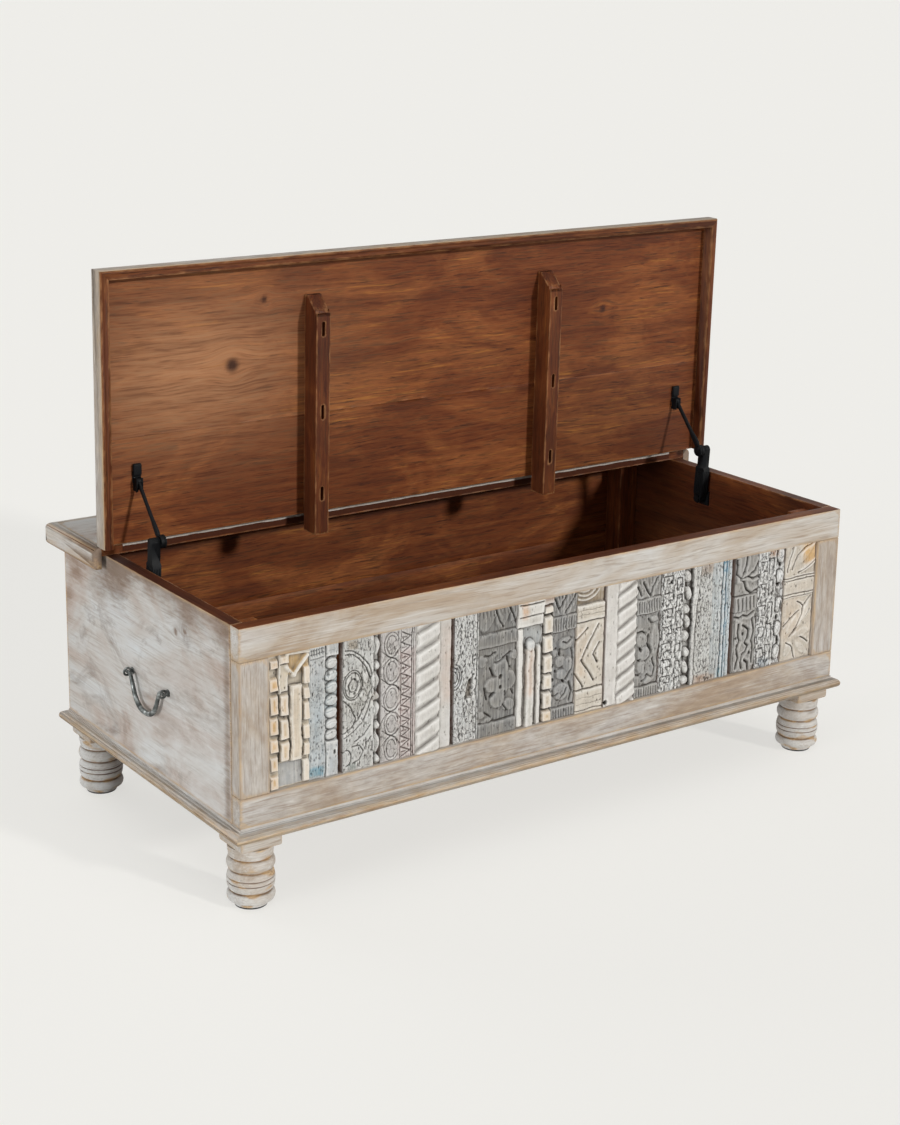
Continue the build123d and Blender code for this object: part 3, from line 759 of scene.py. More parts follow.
def rounded(corners, radii, parts=10):
    # a bar's centre line: straight runs joined by arcs of the given radii
    corners = [Vector(corner) for corner in corners]
    line = [corners[0]]
    for before, corner, after, radius in zip(corners, corners[1:], corners[2:], radii):
        first, second = (before - corner).normalized(), (after - corner).normalized()
        half = math.acos(max(-1, min(1, first.dot(second)))) / 2
        centre = corner + (first + second).normalized() * radius / math.sin(half)
        start, end = ((corner + way * radius / math.tan(half) - centre).normalized() for way in (first, second))
        line += [centre + start.slerp(end, step / parts) * radius for step in range(parts + 1)]
    return line + [corners[-1]]


def bar(name, line, flat, wide, material):
    # a cylinder cut into rings, each set on the centre line; flat is the half thickness along x, wide the other
    deselectAll()
    bpy.ops.mesh.primitive_cylinder_add(vertices=20, radius=1, depth=1, location=(0, 0, 0.5))
    piece = bpy.context.object
    piece.name = name
    bpy.ops.object.transform_apply(location=True)
    last = len(line) - 1
    cutAlong(piece, 2, last - 1, 0.5)
    side = Vector((1, 0, 0))
    places = points(piece)
    for p in places:
        k = min(max(round(p[2] * last), 0), last)
        ahead = (line[min(k + 1, last)] - line[max(k - 1, 0)]).normalized()
        across = ahead.cross(side).normalized()
        p[:] = line[k] + side * (p[0] * flat[k]) + across * (p[1] * wide[k])
    movePoints(piece, places)
    editAll(piece, bpy.ops.mesh.normals_make_consistent, inside=False)
    piece.data.materials.append(material)
    smoothEdges(piece, 50)
    return piece


bail = dict(span=0.047, end=0.015, drop=0.047, foot=0.026, bend=0.006, bow=0.036, thin=0.0030, thick=0.0042,
            topAbove=0.0033)  # from the middle of its ends up to its highest point
handlePlaces = []
for node in ("handle_left", "handle_right"):
    low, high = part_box(node)
    x, y, z = (low.x + high.x) / 2, (low.y + high.y) / 2, high.z - bail["topAbove"]
    handlePlaces.append((x, y, z))
    half = [(bail["span"] + bail["end"], 0), (bail["span"], 0), (bail["foot"], bail["drop"])]
    corners = [(x, y - out, z - drop) for out, drop in half] + [(x, y + out, z - drop) for out, drop in half[::-1]]
    line = rounded(corners, (bail["bend"], bail["bow"], bail["bow"], bail["bend"]))
    hang = np.clip([(z - p.z) / bail["drop"] for p in line], 0, 1)
    size = bail["thin"] + (bail["thick"] - bail["thin"]) * hang ** 0.8
    size[0] = size[-1] = bail["thin"] * 0.8
    piece = bar("forged_" + node, line, size * 0.92, size, iron)
    standFor(piece, node, "wrought_iron", node)

eyeBolt = dict(ring=0.0056, wire=0.0017, reach=0.0575,
               discs=((0.0056, 0.5778, 0.5792), (0.0021, 0.578, 0.5822)))  # washer and shank: radius, from, to
bolts = []
for x, y, z in handlePlaces:
    for place in (y - eyeBolt["reach"], y + eyeBolt["reach"]):
        deselectAll()
        bpy.ops.mesh.primitive_torus_add(location=(x, place, z), rotation=(math.pi / 2, 0, 0),
                                         major_radius=eyeBolt["ring"], minor_radius=eyeBolt["wire"],
                                         major_segments=28, minor_segments=10)
        bolts.append(bpy.context.object)
        for radius, start, stop in eyeBolt["discs"]:
            bpy.ops.mesh.primitive_cylinder_add(vertices=24, radius=radius, depth=stop - start,
                                                rotation=(0, math.pi / 2, 0),
                                                location=(math.copysign(start + stop, x) / 2, place, z))
            bolts.append(bpy.context.object)
for bolt in bolts:
    editOnly(bolt)
    bpy.ops.object.transform_apply(location=True, rotation=True, scale=True)
piece = joinAll("forged_handle_eyes", bolts)
smoothEdges(piece, 45)
standFor(piece, "chest", "wrought_iron", "handle_eyes", iron)

stay = dict(wallPivot=(0.0315, 0.381), knee=(0.0255, 0.472), lidPivot=(0.09368, 0.54952), rodPlane=0.5365,
            rodThick=0.0024,
            # half widths of the rod at shares of the way from knee to lid
            rod=((0.09, 0.0048), (0.12, 0.0068), (0.2, 0.0066), (0.3, 0.0056), (0.34, 0.0045), (0.5, 0.0041),
                 (0.7, 0.0040), (0.88, 0.0042), (0.94, 0.0048)),
            housingMiddle=0.547, ribWidth=0.0021, ribHeight=0.0008, ribLength=0.040, ribPitch=0.0042, ribAt=0.033,
            face=0.007, edge=0.011)  # from the housing's middle to its broad faces and its narrow ones
for side, label in ((-1, "left"), (1, "right")):
    node = "stay_rod_" + label
    knee, lidPivot = (Vector((side * stay["rodPlane"], *stay[end])) for end in ("knee", "lidPivot"))
    line = [knee.lerp(lidPivot, share) for share, _ in stay["rod"]]
    wide = [width for _, width in stay["rod"]]
    rod = joinAll("lacquered_" + node, [solidCopy(node, "rod_eyes", blackStay),
                                        bar("rod_bar", line, [stay["rodThick"]] * len(line), wide, blackStay)])
    smoothEdges(rod, 40)
    standFor(rod, node, "black_stay", node)

    node = "stay_housing_" + label
    parts = [solidCopy(node, "housing_body", blackStay)]
    lower, upper = Vector((0, *stay["wallPivot"])), Vector((0, *stay["knee"]))
    axis = (upper - lower).normalized()
    across = Vector((0, axis.z, -axis.y))
    turn = Matrix((Vector((1, 0, 0)), across, axis)).transposed().to_4x4()
    thick, width, pitch = stay["ribHeight"] * 2, stay["ribWidth"], stay["ribPitch"]
    ribs = [(face * stay["face"], rib * pitch, thick, width) for rib in (-2, -1, 0, 1, 2) for face in (-1, 1)]
    ribs += [(rib * pitch, face * stay["edge"], width, thick) for face in (-1, 1) for rib in (-1, 0, 1)]
    for out, sideways, *section in ribs:
        half = Vector((*section, stay["ribLength"])) / 2
        strip = block("rib", -half, half, 0.0005)
        centre = lower + axis * stay["ribAt"] + across * sideways
        centre.x = side * stay["housingMiddle"] + out
        strip.data.transform(Matrix.Translation(centre) @ turn)
        strip.data.materials.append(blackStay)
        parts.append(strip)
    housing = joinAll("ribbed_" + node, parts)
    smoothEdges(housing, 40)
    standFor(housing, node, "black_stay", node)

bracket = dict(middle=0.5365, half=0.0072, under=0.4314,
               blocks=((-0.004, 0.0155, 0.0060, 0.0028), (0.008, 0.0260, 0.0018, 0.0006)))  # from, to, height, rounding
heads = [solidCopy("stay_lid_brackets", "bracket_ears", blackStay)]
for middle in (-bracket["middle"], bracket["middle"]):
    for start, stop, height, rounding in bracket["blocks"]:
        head = block("head", (middle - bracket["half"], start, bracket["under"] - height),
                     (middle + bracket["half"], stop, bracket["under"]), rounding, 5)
        head.data.transform(openTurn)
        head.data.materials.append(blackStay)
        heads.append(head)
piece = joinAll("lacquered_lid_brackets", heads)
smoothEdges(piece, 40)
standFor(piece, "lid", "black_stay", "stay_lid_brackets")
print("metalwork made")


# carved strips: each starts as a fine grid and is cut down from its face, sizes in millimetres from its lower left;
# c holds one strip: x and z of the points, width w, height h, relief r, paint, and edge for a wavy right side

def ease(low, high, value):
    t = np.clip((value - low) / (high - low), 0, 1)
    return t * t * (3 - 2 * t)


def spread(field, reach):
    # a plain average over neighbouring points
    kernel = np.ones(2 * reach + 1) / (2 * reach + 1)
    for axis in (1, 0):
        margin = [(reach, reach) if side == axis else (0, 0) for side in (0, 1)]
        field = np.apply_along_axis(np.convolve, axis, np.pad(field, margin, mode="edge"), kernel, "valid")
    return field


def inside(c, x0, x1, z0, z1, soft=1.2):
    return (ease(x0 - soft, x0 + soft, c.x) * (1 - ease(x1 - soft, x1 + soft, c.x))
            * ease(z0 - soft, z0 + soft, c.z) * (1 - ease(z1 - soft, z1 + soft, c.z)))


def level(c, x0, x1, z0, z1, height, soft=1.2):
    area = inside(c, x0, x1, z0, z1, soft)
    c.r += (height - c.r) * area
    return area


def course(c, z0, z1, height, soft=1.2):
    # a level band right across the strip
    level(c, -5, 99, z0, z1, height, soft)


def lane(c, x0, x1, height, soft=0.8):
    # a level band from bottom to top
    level(c, x0, x1, -5, 299, height, soft)


def farFrom(c, line):
    best = np.full(c.x.shape, 1e9)
    for (ax, az), (bx, bz) in zip(line, line[1:]):
        run, rise = bx - ax, bz - az
        t = np.clip(((c.x - ax) * run + (c.z - az) * rise) / (run * run + rise * rise + 1e-9), 0, 1)
        best = np.minimum(best, np.hypot(c.x - ax - t * run, c.z - az - t * rise))
    return best


def cuts(c, width, depth, *lines):
    # V cuts along the lines; a negative depth raises a ridge
    for line in lines:
        c.r -= depth * np.exp(-(farFrom(c, line) / width) ** 2)


def grooves(c, width, depth, swell, *lines):
    # gouge cuts, dark at the bottom, that leave rounded banks
    for line in lines:
        away = farFrom(c, line)
        c.r += swell * np.exp(-((away - 3.2 * width) / (2 * width)) ** 2) - depth * np.exp(-(away / width) ** 2)


def seams(c, width, *rows, rise=1):
    # cuts right across the strip; each row: height, depth
    for z, depth in rows:
        cuts(c, width, depth, [(-5, z), (99, z + rise)])


def curve(cx, cz, rx, rz, start, end, parts=18):
    angles = np.radians(np.linspace(start, end, parts))
    return [(cx + rx * math.cos(a), cz + rz * math.sin(a)) for a in angles]


def tint(c, area, hexText, strength):
    c.paint += (np.array(colour(hexText)[:3]) - c.paint) * (np.clip(area, 0, 1) * strength)[..., None]


def uneven(c, scale, shift):
    # a smooth random field from 0 to 1
    step = 4
    coarse = np.array([[noise.noise(Vector((x / scale, z / scale, shift))) for x in c.x[0, ::step]]
                       for z in c.z[::step, 0]])
    for size in c.x.shape[::-1]:
        steps = np.linspace(0, coarse.shape[1] - 1, size)
        coarse = np.array([np.interp(steps, np.arange(coarse.shape[1]), row) for row in coarse]).T
    return 0.5 + 0.5 * coarse


def patch(c, x0, x1, z0, z1, soft, hexText, strength, base=1, more=0, scale=1, shift=0):
    # another tone inside a rectangle, even or cloudy
    cover = base + more * uneven(c, scale, shift) if more else base
    tint(c, inside(c, x0, x1, z0, z1, soft) * cover, hexText, strength)


def turned(c, cx, cz, rx, rz, turn):
    # distance from the middle of a turned oval, 1 at its rim
    a = math.radians(turn)
    x, z = c.x - cx, c.z - cz
    return np.hypot((x * math.cos(a) + z * math.sin(a)) / rx, (z * math.cos(a) - x * math.sin(a)) / rz)


def blob(c, cx, cz, rx, rz, height, rim=1.0, turn=0):
    # a rounded lump, with a cut where it meets the ground
    away = turned(c, cx, cz, rx, rz, turn)
    c.r += height * np.clip(1 - away ** 2, 0, 1) ** 0.55 - rim * np.exp(-((away - 1.06) * min(rx, rz) / 1.2) ** 2)


def plateau(c, height, soft, *ovals):
    # ovals (centre, radii, turn) run together into one raised form with soft shoulders and a slightly full top
    within = np.max([(1 - turned(c, *oval)) * min(oval[2:4]) for oval in ovals], axis=0)
    c.r += height * (0.75 * ease(-0.4, soft, within) + 0.25 * ease(0, 9, within))


# a drilled hole whose inside is darkened with painted shade, unless its strength is 0
def hole(c, cx, cz, rx, rz, depth, shade="#2c2824", strength=0.7):
    away = turned(c, cx, cz, rx, rz, 0)
    c.r -= depth * (1 - ease(0.55, 1.15, away))
    tint(c, 1 - ease(0.7, 1.2, away), shade, strength)


def pillows(c, x0, x1, rows, ground, tilt):
    # a column of carved blocks, steep below and with a worn slope along the top; each row: bottom, top
    stones = np.zeros(c.x.shape)
    for z0, z1 in rows:
        area = inside(c, x0 - 1.6, x1 + 1.6, z0 - 2.2, z1 + 1.4, 0.6)
        body = ease(x0 - 0.4, x0 + 1.8, c.x) * (1 - ease(x1 - 1.8, x1 + 0.4, c.x))
        body = body * ease(z0 - 0.5, z0 + 1.6, c.z) * (1 - ease(z1 - 4.5, z1 + 0.6, c.z))
        top = 1.2 - tilt * (c.z - (z0 + z1) / 2) / (z1 - z0)
        c.r += (ground + (top - ground) * body - c.r) * area
        stones = np.maximum(stones, body * area)
    return stones


def hatch(c, x0, x1, z0, z1, pitch, depth):
    area = inside(c, x0, x1, z0, z1, 2.0)
    c.r -= depth * area * (0.5 + 0.5 * np.cos(2 * np.pi * (c.x + 0.6 * np.sin(c.z * 0.13)) / pitch)) ** 3


def nicks(c, count, x0, x1, size, depth, seed, z0=2, z1=199):
    # small pits and flaked spots, taller than wide
    rng = np.random.default_rng(seed)
    for x, z, s in zip(rng.uniform(x0, x1, count), rng.uniform(z0, z1, count), rng.uniform(0.6, 1.3, count)):
        c.r -= depth * s * np.exp(-((c.x - x) / (size * s)) ** 2 - ((c.z - z) / (size * 2.4 * s)) ** 2)


def scallop(c, depth, top, pitch, power):
    # a wavy right side
    c.edge = depth * (0.5 + 0.5 * np.cos((c.z - top) * 2 * np.pi / pitch)) ** power


def rope(c, x0, x1, pitch, rise, phase):
    # fat strands that climb to the right, each swelling up to a worn hatched lip with a valley above it
    across = np.clip((c.x - x0) / (x1 - x0), 0, 1)
    part = (c.z - phase - rise * across) / pitch % 1  # how far up its strand a point lies
    strand = ease(0.0, 0.45, part) * (1 - ease(0.87, 1.0, part))
    ends = ease(0.0, 0.12, across) * (1 - ease(0.93, 1.0, across) * 0.8)
    area = inside(c, x0 - 0.4, x1 + 0.4, -20, c.h + 20, 0.5)
    shape = -3.6 + (4.6 + np.sin(np.pi * across)) * strand * (0.55 + 0.45 * ends)
    c.r += (shape - c.r) * area
    lip = ease(0.4, 0.6, part) * (1 - ease(0.8, 0.95, part))
    c.r -= 0.6 * area * (0.5 + 0.5 * np.sin(c.x * 2.4 - c.z * 0.5)) * lip


def brickStrip(c):
    course(c, -5, 299, -3.6)
    columns = ((1, 16, 1, ((1.5, 23.5), (29, 52), (57, 78), (83.5, 110), (114, 143), (149, 169), (182, 197))),
               (19, 34, 0.55, ((40.5, 71), (74, 105), (110, 141), (186, 200))),
               (57, 68, 0.55, ((42, 63), (67.5, 91), (97, 123), (127, 147), (152, 178))))
    stones = np.max([pillows(c, x0, x1, rows, -3.2, 2) * warm for x0, x1, warm, rows in columns], axis=0)
    level(c, 19, 33, 145, 184, -1.4, 0.8)
    post = level(c, 36.5, 55, 38, 152, 0.2, 1.0)
    cuts(c, 0.8, 0.9, [(38.2, 39), (38.2, 150)], [(53.4, 39), (53.4, 150)])
    flat = level(c, 18, 56.5, 2, 37, -4.0, 1.0)
    low = level(c, 57, 68, 2, 36, -0.8, 1.0)
    for width, height, line in ((3.4, 5.4, [(42, 168), (64, 193)]), (3.0, 4.0, [(40, 166), (30, 180)]),
                                (2.2, 4.6, [(30, 200), (66, 199)]), (1.6, 4.6, [(18, 144), (18, 200)])):
        cuts(c, width, -height, line)
    tint(c, spread(stones, 2) * (0.55 + 0.6 * uneven(c, 9, 3)), "#cc9c50", 0.95)
    tint(c, inside(c, 32, 67, 168, 196, 3) * (c.r < -0.5), "#c9a25f", 0.8)
    tint(c, post + low, "#d3c2ab", 0.7)
    tint(c, flat, "#b3b5b6", 0.95)
    tint(c, flat * uneven(c, 7, 8), "#8c8f91", 0.6)
    nicks(c, 30, 2, 66, 0.8, 1.2, 1, 4, 198)


def spoolStrip(c):
    lane(c, -5, 24, -1.2)
    lane(c, 25, 99, -2.6)
    level(c, 27, 99, 183, 299, 0.8, 1.0)
    level(c, 27, 99, -5, 53, 0.0)
    for z in (171.5, 153, 134.5, 115.5, 97, 79.5, 62.5):
        blob(c, 36.5, z, 10.5, 8.2, 3.6, 0.8, 14)
        cuts(c, 0.9, 0.9, [(29, z + 1), (36, z + 4), (43, z + 3)])
    hole(c, 41.5, 36, 2.0, 4.2, 5, strength=0)
    cuts(c, 0.9, 1.4, *([(2, z), (23, z + 0.8)] for z in (183, 190, 196)))
    hatch(c, 2, 23, 188, 199, 4.2, 1.6)
    nicks(c, 130, 1, 24, 0.75, 1.3, 2, z1=180)
    nicks(c, 30, 26, 46, 0.8, 1.2, 12, z1=198)
    patch(c, -5, 24, 4, 19, 3, "#3f8aa3", 0.85)
    patch(c, -5, 24, -5, 150, 22, "#93aab6", 0.55, 0.1, 0.8, 22, 5)
    patch(c, 26, 99, 100, 160, 8, "#7ea6b2", 0.6, 0, 1, 10, 4)


def scrollStrip(c):
    cuts(c, 0.95, 2.0, *(curve(16.5, 131.5, rx, rz, 0, 360, 34) for rx, rz in ((16, 22.5), (13.2, 19), (7, 10))),
         [(3, 186), (16, 183), (30, 174), (44, 159), (52, 136)], [(3, 180), (16, 178), (28, 169), (40, 154), (47, 136)],
         [(46, 118), (38, 99), (25.8, 78), (14, 67), (0, 60)], [(49, 108), (42, 90), (32.6, 71.7), (18, 60), (2, 53)],
         [(1, 110), (14, 97), (21, 80), (16, 66)], [(15, 37), (28, 37), (34, 27), (28, 15), (17, 11)],
         curve(6, 21, 9, 12, -90, 200), [(20, 44), (35, 52), (46, 66)], [(36, 30), (42, 40), (48, 46)])
    blob(c, 34, 112, 6, 10, 1.4, 0.8, 30)
    blob(c, 38, 140, 5, 11, 1.4, 0.8, 10)
    lane(c, 52, 99, -5.6, 1.0)
    for x, z, rx, rz in ((58, 182, 7.5, 15), (58.5, 153, 6.2, 7), (55.5, 132, 8.5, 13), (57, 107, 7.5, 7),
                         (57, 86, 7, 12), (58.5, 61, 5.5, 6.5), (57, 34, 7.5, 17), (59, 9, 6, 8)):
        blob(c, x, z, rx, rz, 6.6, 0.2)
    nicks(c, 230, 1, 50, 0.8, 1.7, 3)
    scallop(c, 3.4, 143, 31, 2)
    patch(c, 48, 60, 100, 114, 3, "#6d5c4a", 0.85)
    patch(c, 8, 24, 186, 200, 3, "#9a8a72", 0.7)
    patch(c, 8, 22, 2, 12, 3, "#5d6a66", 0.8)
    patch(c, 4, 48, 90, 150, 12, "#98978c", 0.7, 0, 1, 9, 9)


def latticeStrip(c):
    course(c, -5, 299, -0.6)
    for z, size in ((19, 1), (57, 1), (98, 1.1), (139, 1.1), (180, 1.05)):
        cuts(c, 0.8, 1.2, *(curve(18.5, z, rx * size, rz * size, 20, 330, 26) for rx, rz in ((12, 18.5), (8, 13.5))))
    for z in (38, 77, 118, 160):
        for way in (-1, 1):
            cuts(c, 0.85, 1.5, [(2, z + way * 12), (12, z + way * 3), (26, z - way * 3), (34, z - way * 13)])
    for z in np.arange(12) * 16.2 + 2:
        cuts(c, 1.0, 1.9, [(36, z), (52, z + 8.1), (36, z + 16.2)])
        cuts(c, 1.2, 1.4, [(37, z + 8.1), (44, z + 8.1)])
    for x, depth in ((34, 1.3), (54, 1.7), (57.5, 1.3)):
        cuts(c, 0.8, depth, [(x, -5), (x, 210)])
    nicks(c, 120, 1, 59, 0.8, 1.3, 4)
    patch(c, 30, 99, -5, 168, 6, "#a98a86", 0.75, 0.35, 0.7, 26, 3)


def ropeLeftStrip(c):
    lane(c, 43, 99, -1.6)
    rope(c, 0, 42, 30.3, 17, 5)
    cuts(c, 1.1, 1.0, [(43.4, -5), (43.4, 210)])
    nicks(c, 36, 1, 61, 0.9, 1.2, 5)
    patch(c, 45, 99, 70, 190, 14, "#c0a99b", 0.7, 0.3, 1, 15, 6)


def chippedStrip(c):
    cuts(c, 0.8, 1.8, [(41, -5), (41, 210)])
    cuts(c, 0.8, 0.9, [(33.5, 110), (33.5, 210)])
    cuts(c, 1.1, 1.7, *(curve(0, 106, reach, reach * 1.5, -85, 85) for reach in (6, 10, 13.5)))
    chip = inside(c, 20, 33, 70, 100, 2.5) * (c.x - 20 > (c.z - 70) * 0.25)
    c.r -= 3.6 * spread(chip, 2)
    nicks(c, 260, 1, 40, 0.85, 1.9, 6)
    tint(c, spread(chip, 1), "#7c7063", 0.9)
    patch(c, -5, 16, 88, 124, 5, "#8f9aa5", 0.7, 0, 1, 6, 2)


def flowerStrip(c):
    w = c.w
    course(c, 21, 140, -3.0, 1.6)
    plateau(c, 3.4, 2.6, (42, 105, 15, 17, 0), (26, 81, 14, 13, 0), (56, 84, 15, 16, 0), (36, 55, 14, 15, 0),
            (57, 44, 12, 11, 0), (41, 78, 16, 20, 0))
    plateau(c, 2.6, 2.6, (7, 121, 10, 11, 20), (17, 25, 12, 6, 20), (6, 36, 8, 7, 0), (w - 4, 122, 9, 9, 0),
            (5, 62, 6, 16, 0))
    grooves(c, 1.3, 2.6, 0.3, [(10, 128), (22, 126), (32, 131)], [(33, 116), (47, 120), (62, 127)],
            [(24, 108), (28, 96)], [(55, 120), (57, 104), (61, 102)], [(14, 78), (18, 59)], [(14, 38), (25, 29)],
            [(46, 46), (55, 34)], [(29, 67), (24, 62)], [(48, 67), (52, 60)], [(64, 66), (68, 58)])
    for x, z, size in ((40, 92, 3.6), (40, 75, 3.2), (50, 60, 2.8)):
        hole(c, x, z, size, size * 1.2, 3.0, strength=0)
    course(c, 141, 163, -0.2, 1.4)
    course(c, -5, 20, -0.6, 1.4)
    course(c, 165, 299, -2.4, 1.4)
    plateau(c, 2.8, 2.6, (14, 196, 17, 30, -12), (44, 198, 14, 30, -14), (67, 200, 10, 30, -14))
    grooves(c, 1.3, 2.4, 0.3, [(30, 201), (36, 182), (46, 170)])
    grooves(c, 1.4, 2.8, 0.3, [(56, 201), (64, 184), (72, 172)])
    seams(c, 1.3, (21, 2.0), (140, 2.8), (164, 2.2))
    nicks(c, 110, 1, 69, 0.8, 1.0, 7)
    hatch(c, 2, w - 2, 190, 201, 6.5, 1.4)


def pilasterStrip(c):
    level(c, -5, 48, -5, 162, -4.2, 1.0)
    level(c, 1.5, 11, 3, 160, 0.2, 2.4)
    level(c, 18, 33, -5, 137, 0.6, 3.2)
    blob(c, 25.5, 132, 8, 10, 2.6, 0.6)
    level(c, 38, 45.5, -5, 128, -0.4, 1.8)
    cuts(c, 1.1, -1.4, [(14.6, 4), (14.6, 118)], [(35.6, 4), (35.6, 118)])
    level(c, 6, 48, 163, 178, 0.4, 1.0)
    level(c, 0, 48, 180, 196, 1.0, 1.0)
    for z, depth in ((162, 2.4), (179, 2.2), (197, 2.2)):
        cuts(c, 1.1, depth, [(4, z), (48, z + 0.6)])
    rows = ((2, 20), (23, 50), (53, 79), (81, 110), (113.5, 142), (145.5, 174), (177, 190))
    stones = pillows(c, 50, 67.5, rows, -5.5, 1)
    tint(c, spread(stones, 1), "#d2c2aa", 0.8)
    tint(c, spread(stones, 1) * inside(c, 49, 99, -5, 24, 4), "#cfae78", 0.9)
    patch(c, 50, 99, 186, 299, 3, "#7d5a40", 0.85)
    patch(c, 17, 34, 50, 126, 8, "#c79f84", 0.75, 0.3, 1, 12, 7)
    patch(c, 8, 20, 176, 202, 4, "#cf9f72", 0.8, 0.4, 1, 6, 8)
    patch(c, 12, 48, 126, 162, 5, "#a3a9ac", 0.8)
    nicks(c, 50, 1, 67, 0.8, 1.1, 8)


def leafyStrip(c, barLow, barHigh, forms, lines, holes, tops):
    # half a flower cut across: lobes run together, gouged lines, drilled holes, hatched bars above and below
    w, h = c.w, c.h
    course(c, 18, barLow, -3.0, 1.4)
    plateau(c, 3.2, 2.6, *(form + (0,) for form in forms))
    grooves(c, 1.25, 2.8, 0.5, *lines)
    for x, z, size in holes:
        hole(c, x, z, size * 0.8, size, 4.0)
    course(c, barLow, barHigh, -0.2)
    hatch(c, 1, w - 1, barLow + 3, barHigh - 3, 5.2, 1.6)
    course(c, -5, 17, -0.6)
    hatch(c, 1, w - 1, -5, 15, 5.2, 1.5)
    course(c, barHigh + 1, 299, -1.6)
    grooves(c, 1.3, 2.6, 1.2, *tops)
    hatch(c, 1, w - 1, barHigh + 6, h, 6.0, 0.9)
    seams(c, 1.2, (17.5, 2.2), (barLow, 2.8), (barHigh, 2.4))
    nicks(c, 120, 1, w - 1, 0.8, 1.2, barLow, z1=h - 2)


def diamondStrip(c):
    h = c.h
    course(c, 39, 149, -0.8)
    for line in ([(43, 140), (34, 128), (25, 112), (13, 93)], [(10, 88), (20, 74), (30, 60), (37, 50)],
                 [(45, 109), (34, 93), (43, 79)], [(20, 138), (9, 130), (0, 121)], [(0, 65), (7, 54), (15, 42)]):
        cuts(c, 1.9, 3.4, line)
        cuts(c, 2.2, -0.9, [(x - 2.6, z + 2.4) for x, z in line])
    course(c, 150, 177, 0.4)
    course(c, 4, 37, 0.2)
    course(c, 179, 299, -2.6, 1.0)
    cuts(c, 2.2, -2.8, *(curve(14, h + 8, reach, reach * 0.8, 200, 350) for reach in (14, 22, 30)))
    seams(c, 1.3, (38, 2.8), (149.5, 2.8), (178, 2.6), (4, 1.8), rise=0)
    cuts(c, 0.7, 1.0, *([(2, z), (14, z + 1.5), (30, z - 1), (52, z + 1)] for z in (14, 24, 160, 168)))
    patch(c, -5, 99, 179, h, 2, "#7d6642", 0.9, 0.3, 1, 8, 2)
    patch(c, -5, 24, 60, 140, 9, "#c9ae92", 0.6, 0, 1, 16, 5)
    nicks(c, 60, 1, 52, 0.8, 1.3, 10)


def ropeRightStrip(c):
    lane(c, -5, 21, -0.4)
    rope(c, 22, c.w, 27.6, 20, 12)
    hole(c, 2.6, 6.5, 3.4, 4.4, 8, "#120e0b", 1)
    scallop(c, 2.8, 22, 27.6, 1)
    nicks(c, 30, 1, 60, 0.9, 1.1, 11)


def crazedStrip(c):
    w = c.w
    for z in range(6, 202, 28):
        cuts(c, 1.2, 2.4, [(3, z), (3, z + 20), (w * 0.5, z + 20), (w * 0.5, z + 7), (w * 0.28, z + 7)])
        cuts(c, 1.2, 2.2, [(w * 0.68, z - 6), (w * 0.68, z + 14), (w - 4, z + 14), (w - 4, z + 2)])
    nicks(c, 420, 1, w - 1, 0.85, 2.2, 13)


def ribbonStrip(c):
    lane(c, -5, 20, -4.6)
    for x, z, rx, rz in ((9, 186, 8, 11), (11, 158, 6, 13), (8, 131, 8, 8), (11, 110, 6, 12), (8, 86, 9, 10),
                         (11, 58, 7, 9), (9, 34, 7, 14), (9, 10, 8, 8)):
        blob(c, x, z, rx, rz, 5.6, 0.3, 18)
    for x, z in ((8, 172), (4, 145), (4, 73), (7, 48)):
        hole(c, x, z, 3.2, 4.5, 3.5, "#2a241f", 0.9)
    lane(c, 20.5, 26, 0.6)
    cuts(c, 2.2, -2.2, [(33, 202), (27, 150), (22, 96)])
    cuts(c, 1.1, 2.6, [(35.5, 202), (30, 150), (27, 96), (27, -5)])
    nicks(c, 190, 28, 61, 0.85, 1.7, 14)
    patch(c, 26, 99, -5, 14, 4, "#9b7a61", 0.85)
    patch(c, 34, 99, 184, 299, 5, "#94806e", 0.75)


def blueStrip(c):
    for x, depth in ((23, 2.2), (29.5, 1.6), (35, 1.4)):
        cuts(c, 1.0, depth, [(x, -5), (x - 0.6, 120), (x, 210)])
    lane(c, -5, 22, -0.7)
    hatch(c, 1, 41, 2, 200, 7.5, 0.8)
    nicks(c, 170, 1, 41, 0.8, 1.5, 15)
    patch(c, -5, 22, -5, 180, 12, "#93b3bf", 0.25, 0.1, 0.6, 20, 7)
    patch(c, 22.5, 36, -5, 299, 1.5, "#7298ad", 0.85, 0.55, 0.6, 16, 5)
    patch(c, 23, 35, 180, 203, 4, "#2f86a8", 0.85)
    patch(c, 19, 29, 2, 17, 3, "#2f8399", 0.85)
    patch(c, 1, 14, -5, 9, 3, "#97724f", 0.7)
    patch(c, 36.5, 99, -5, 299, 1.5, "#b7c3c8", 0.75)


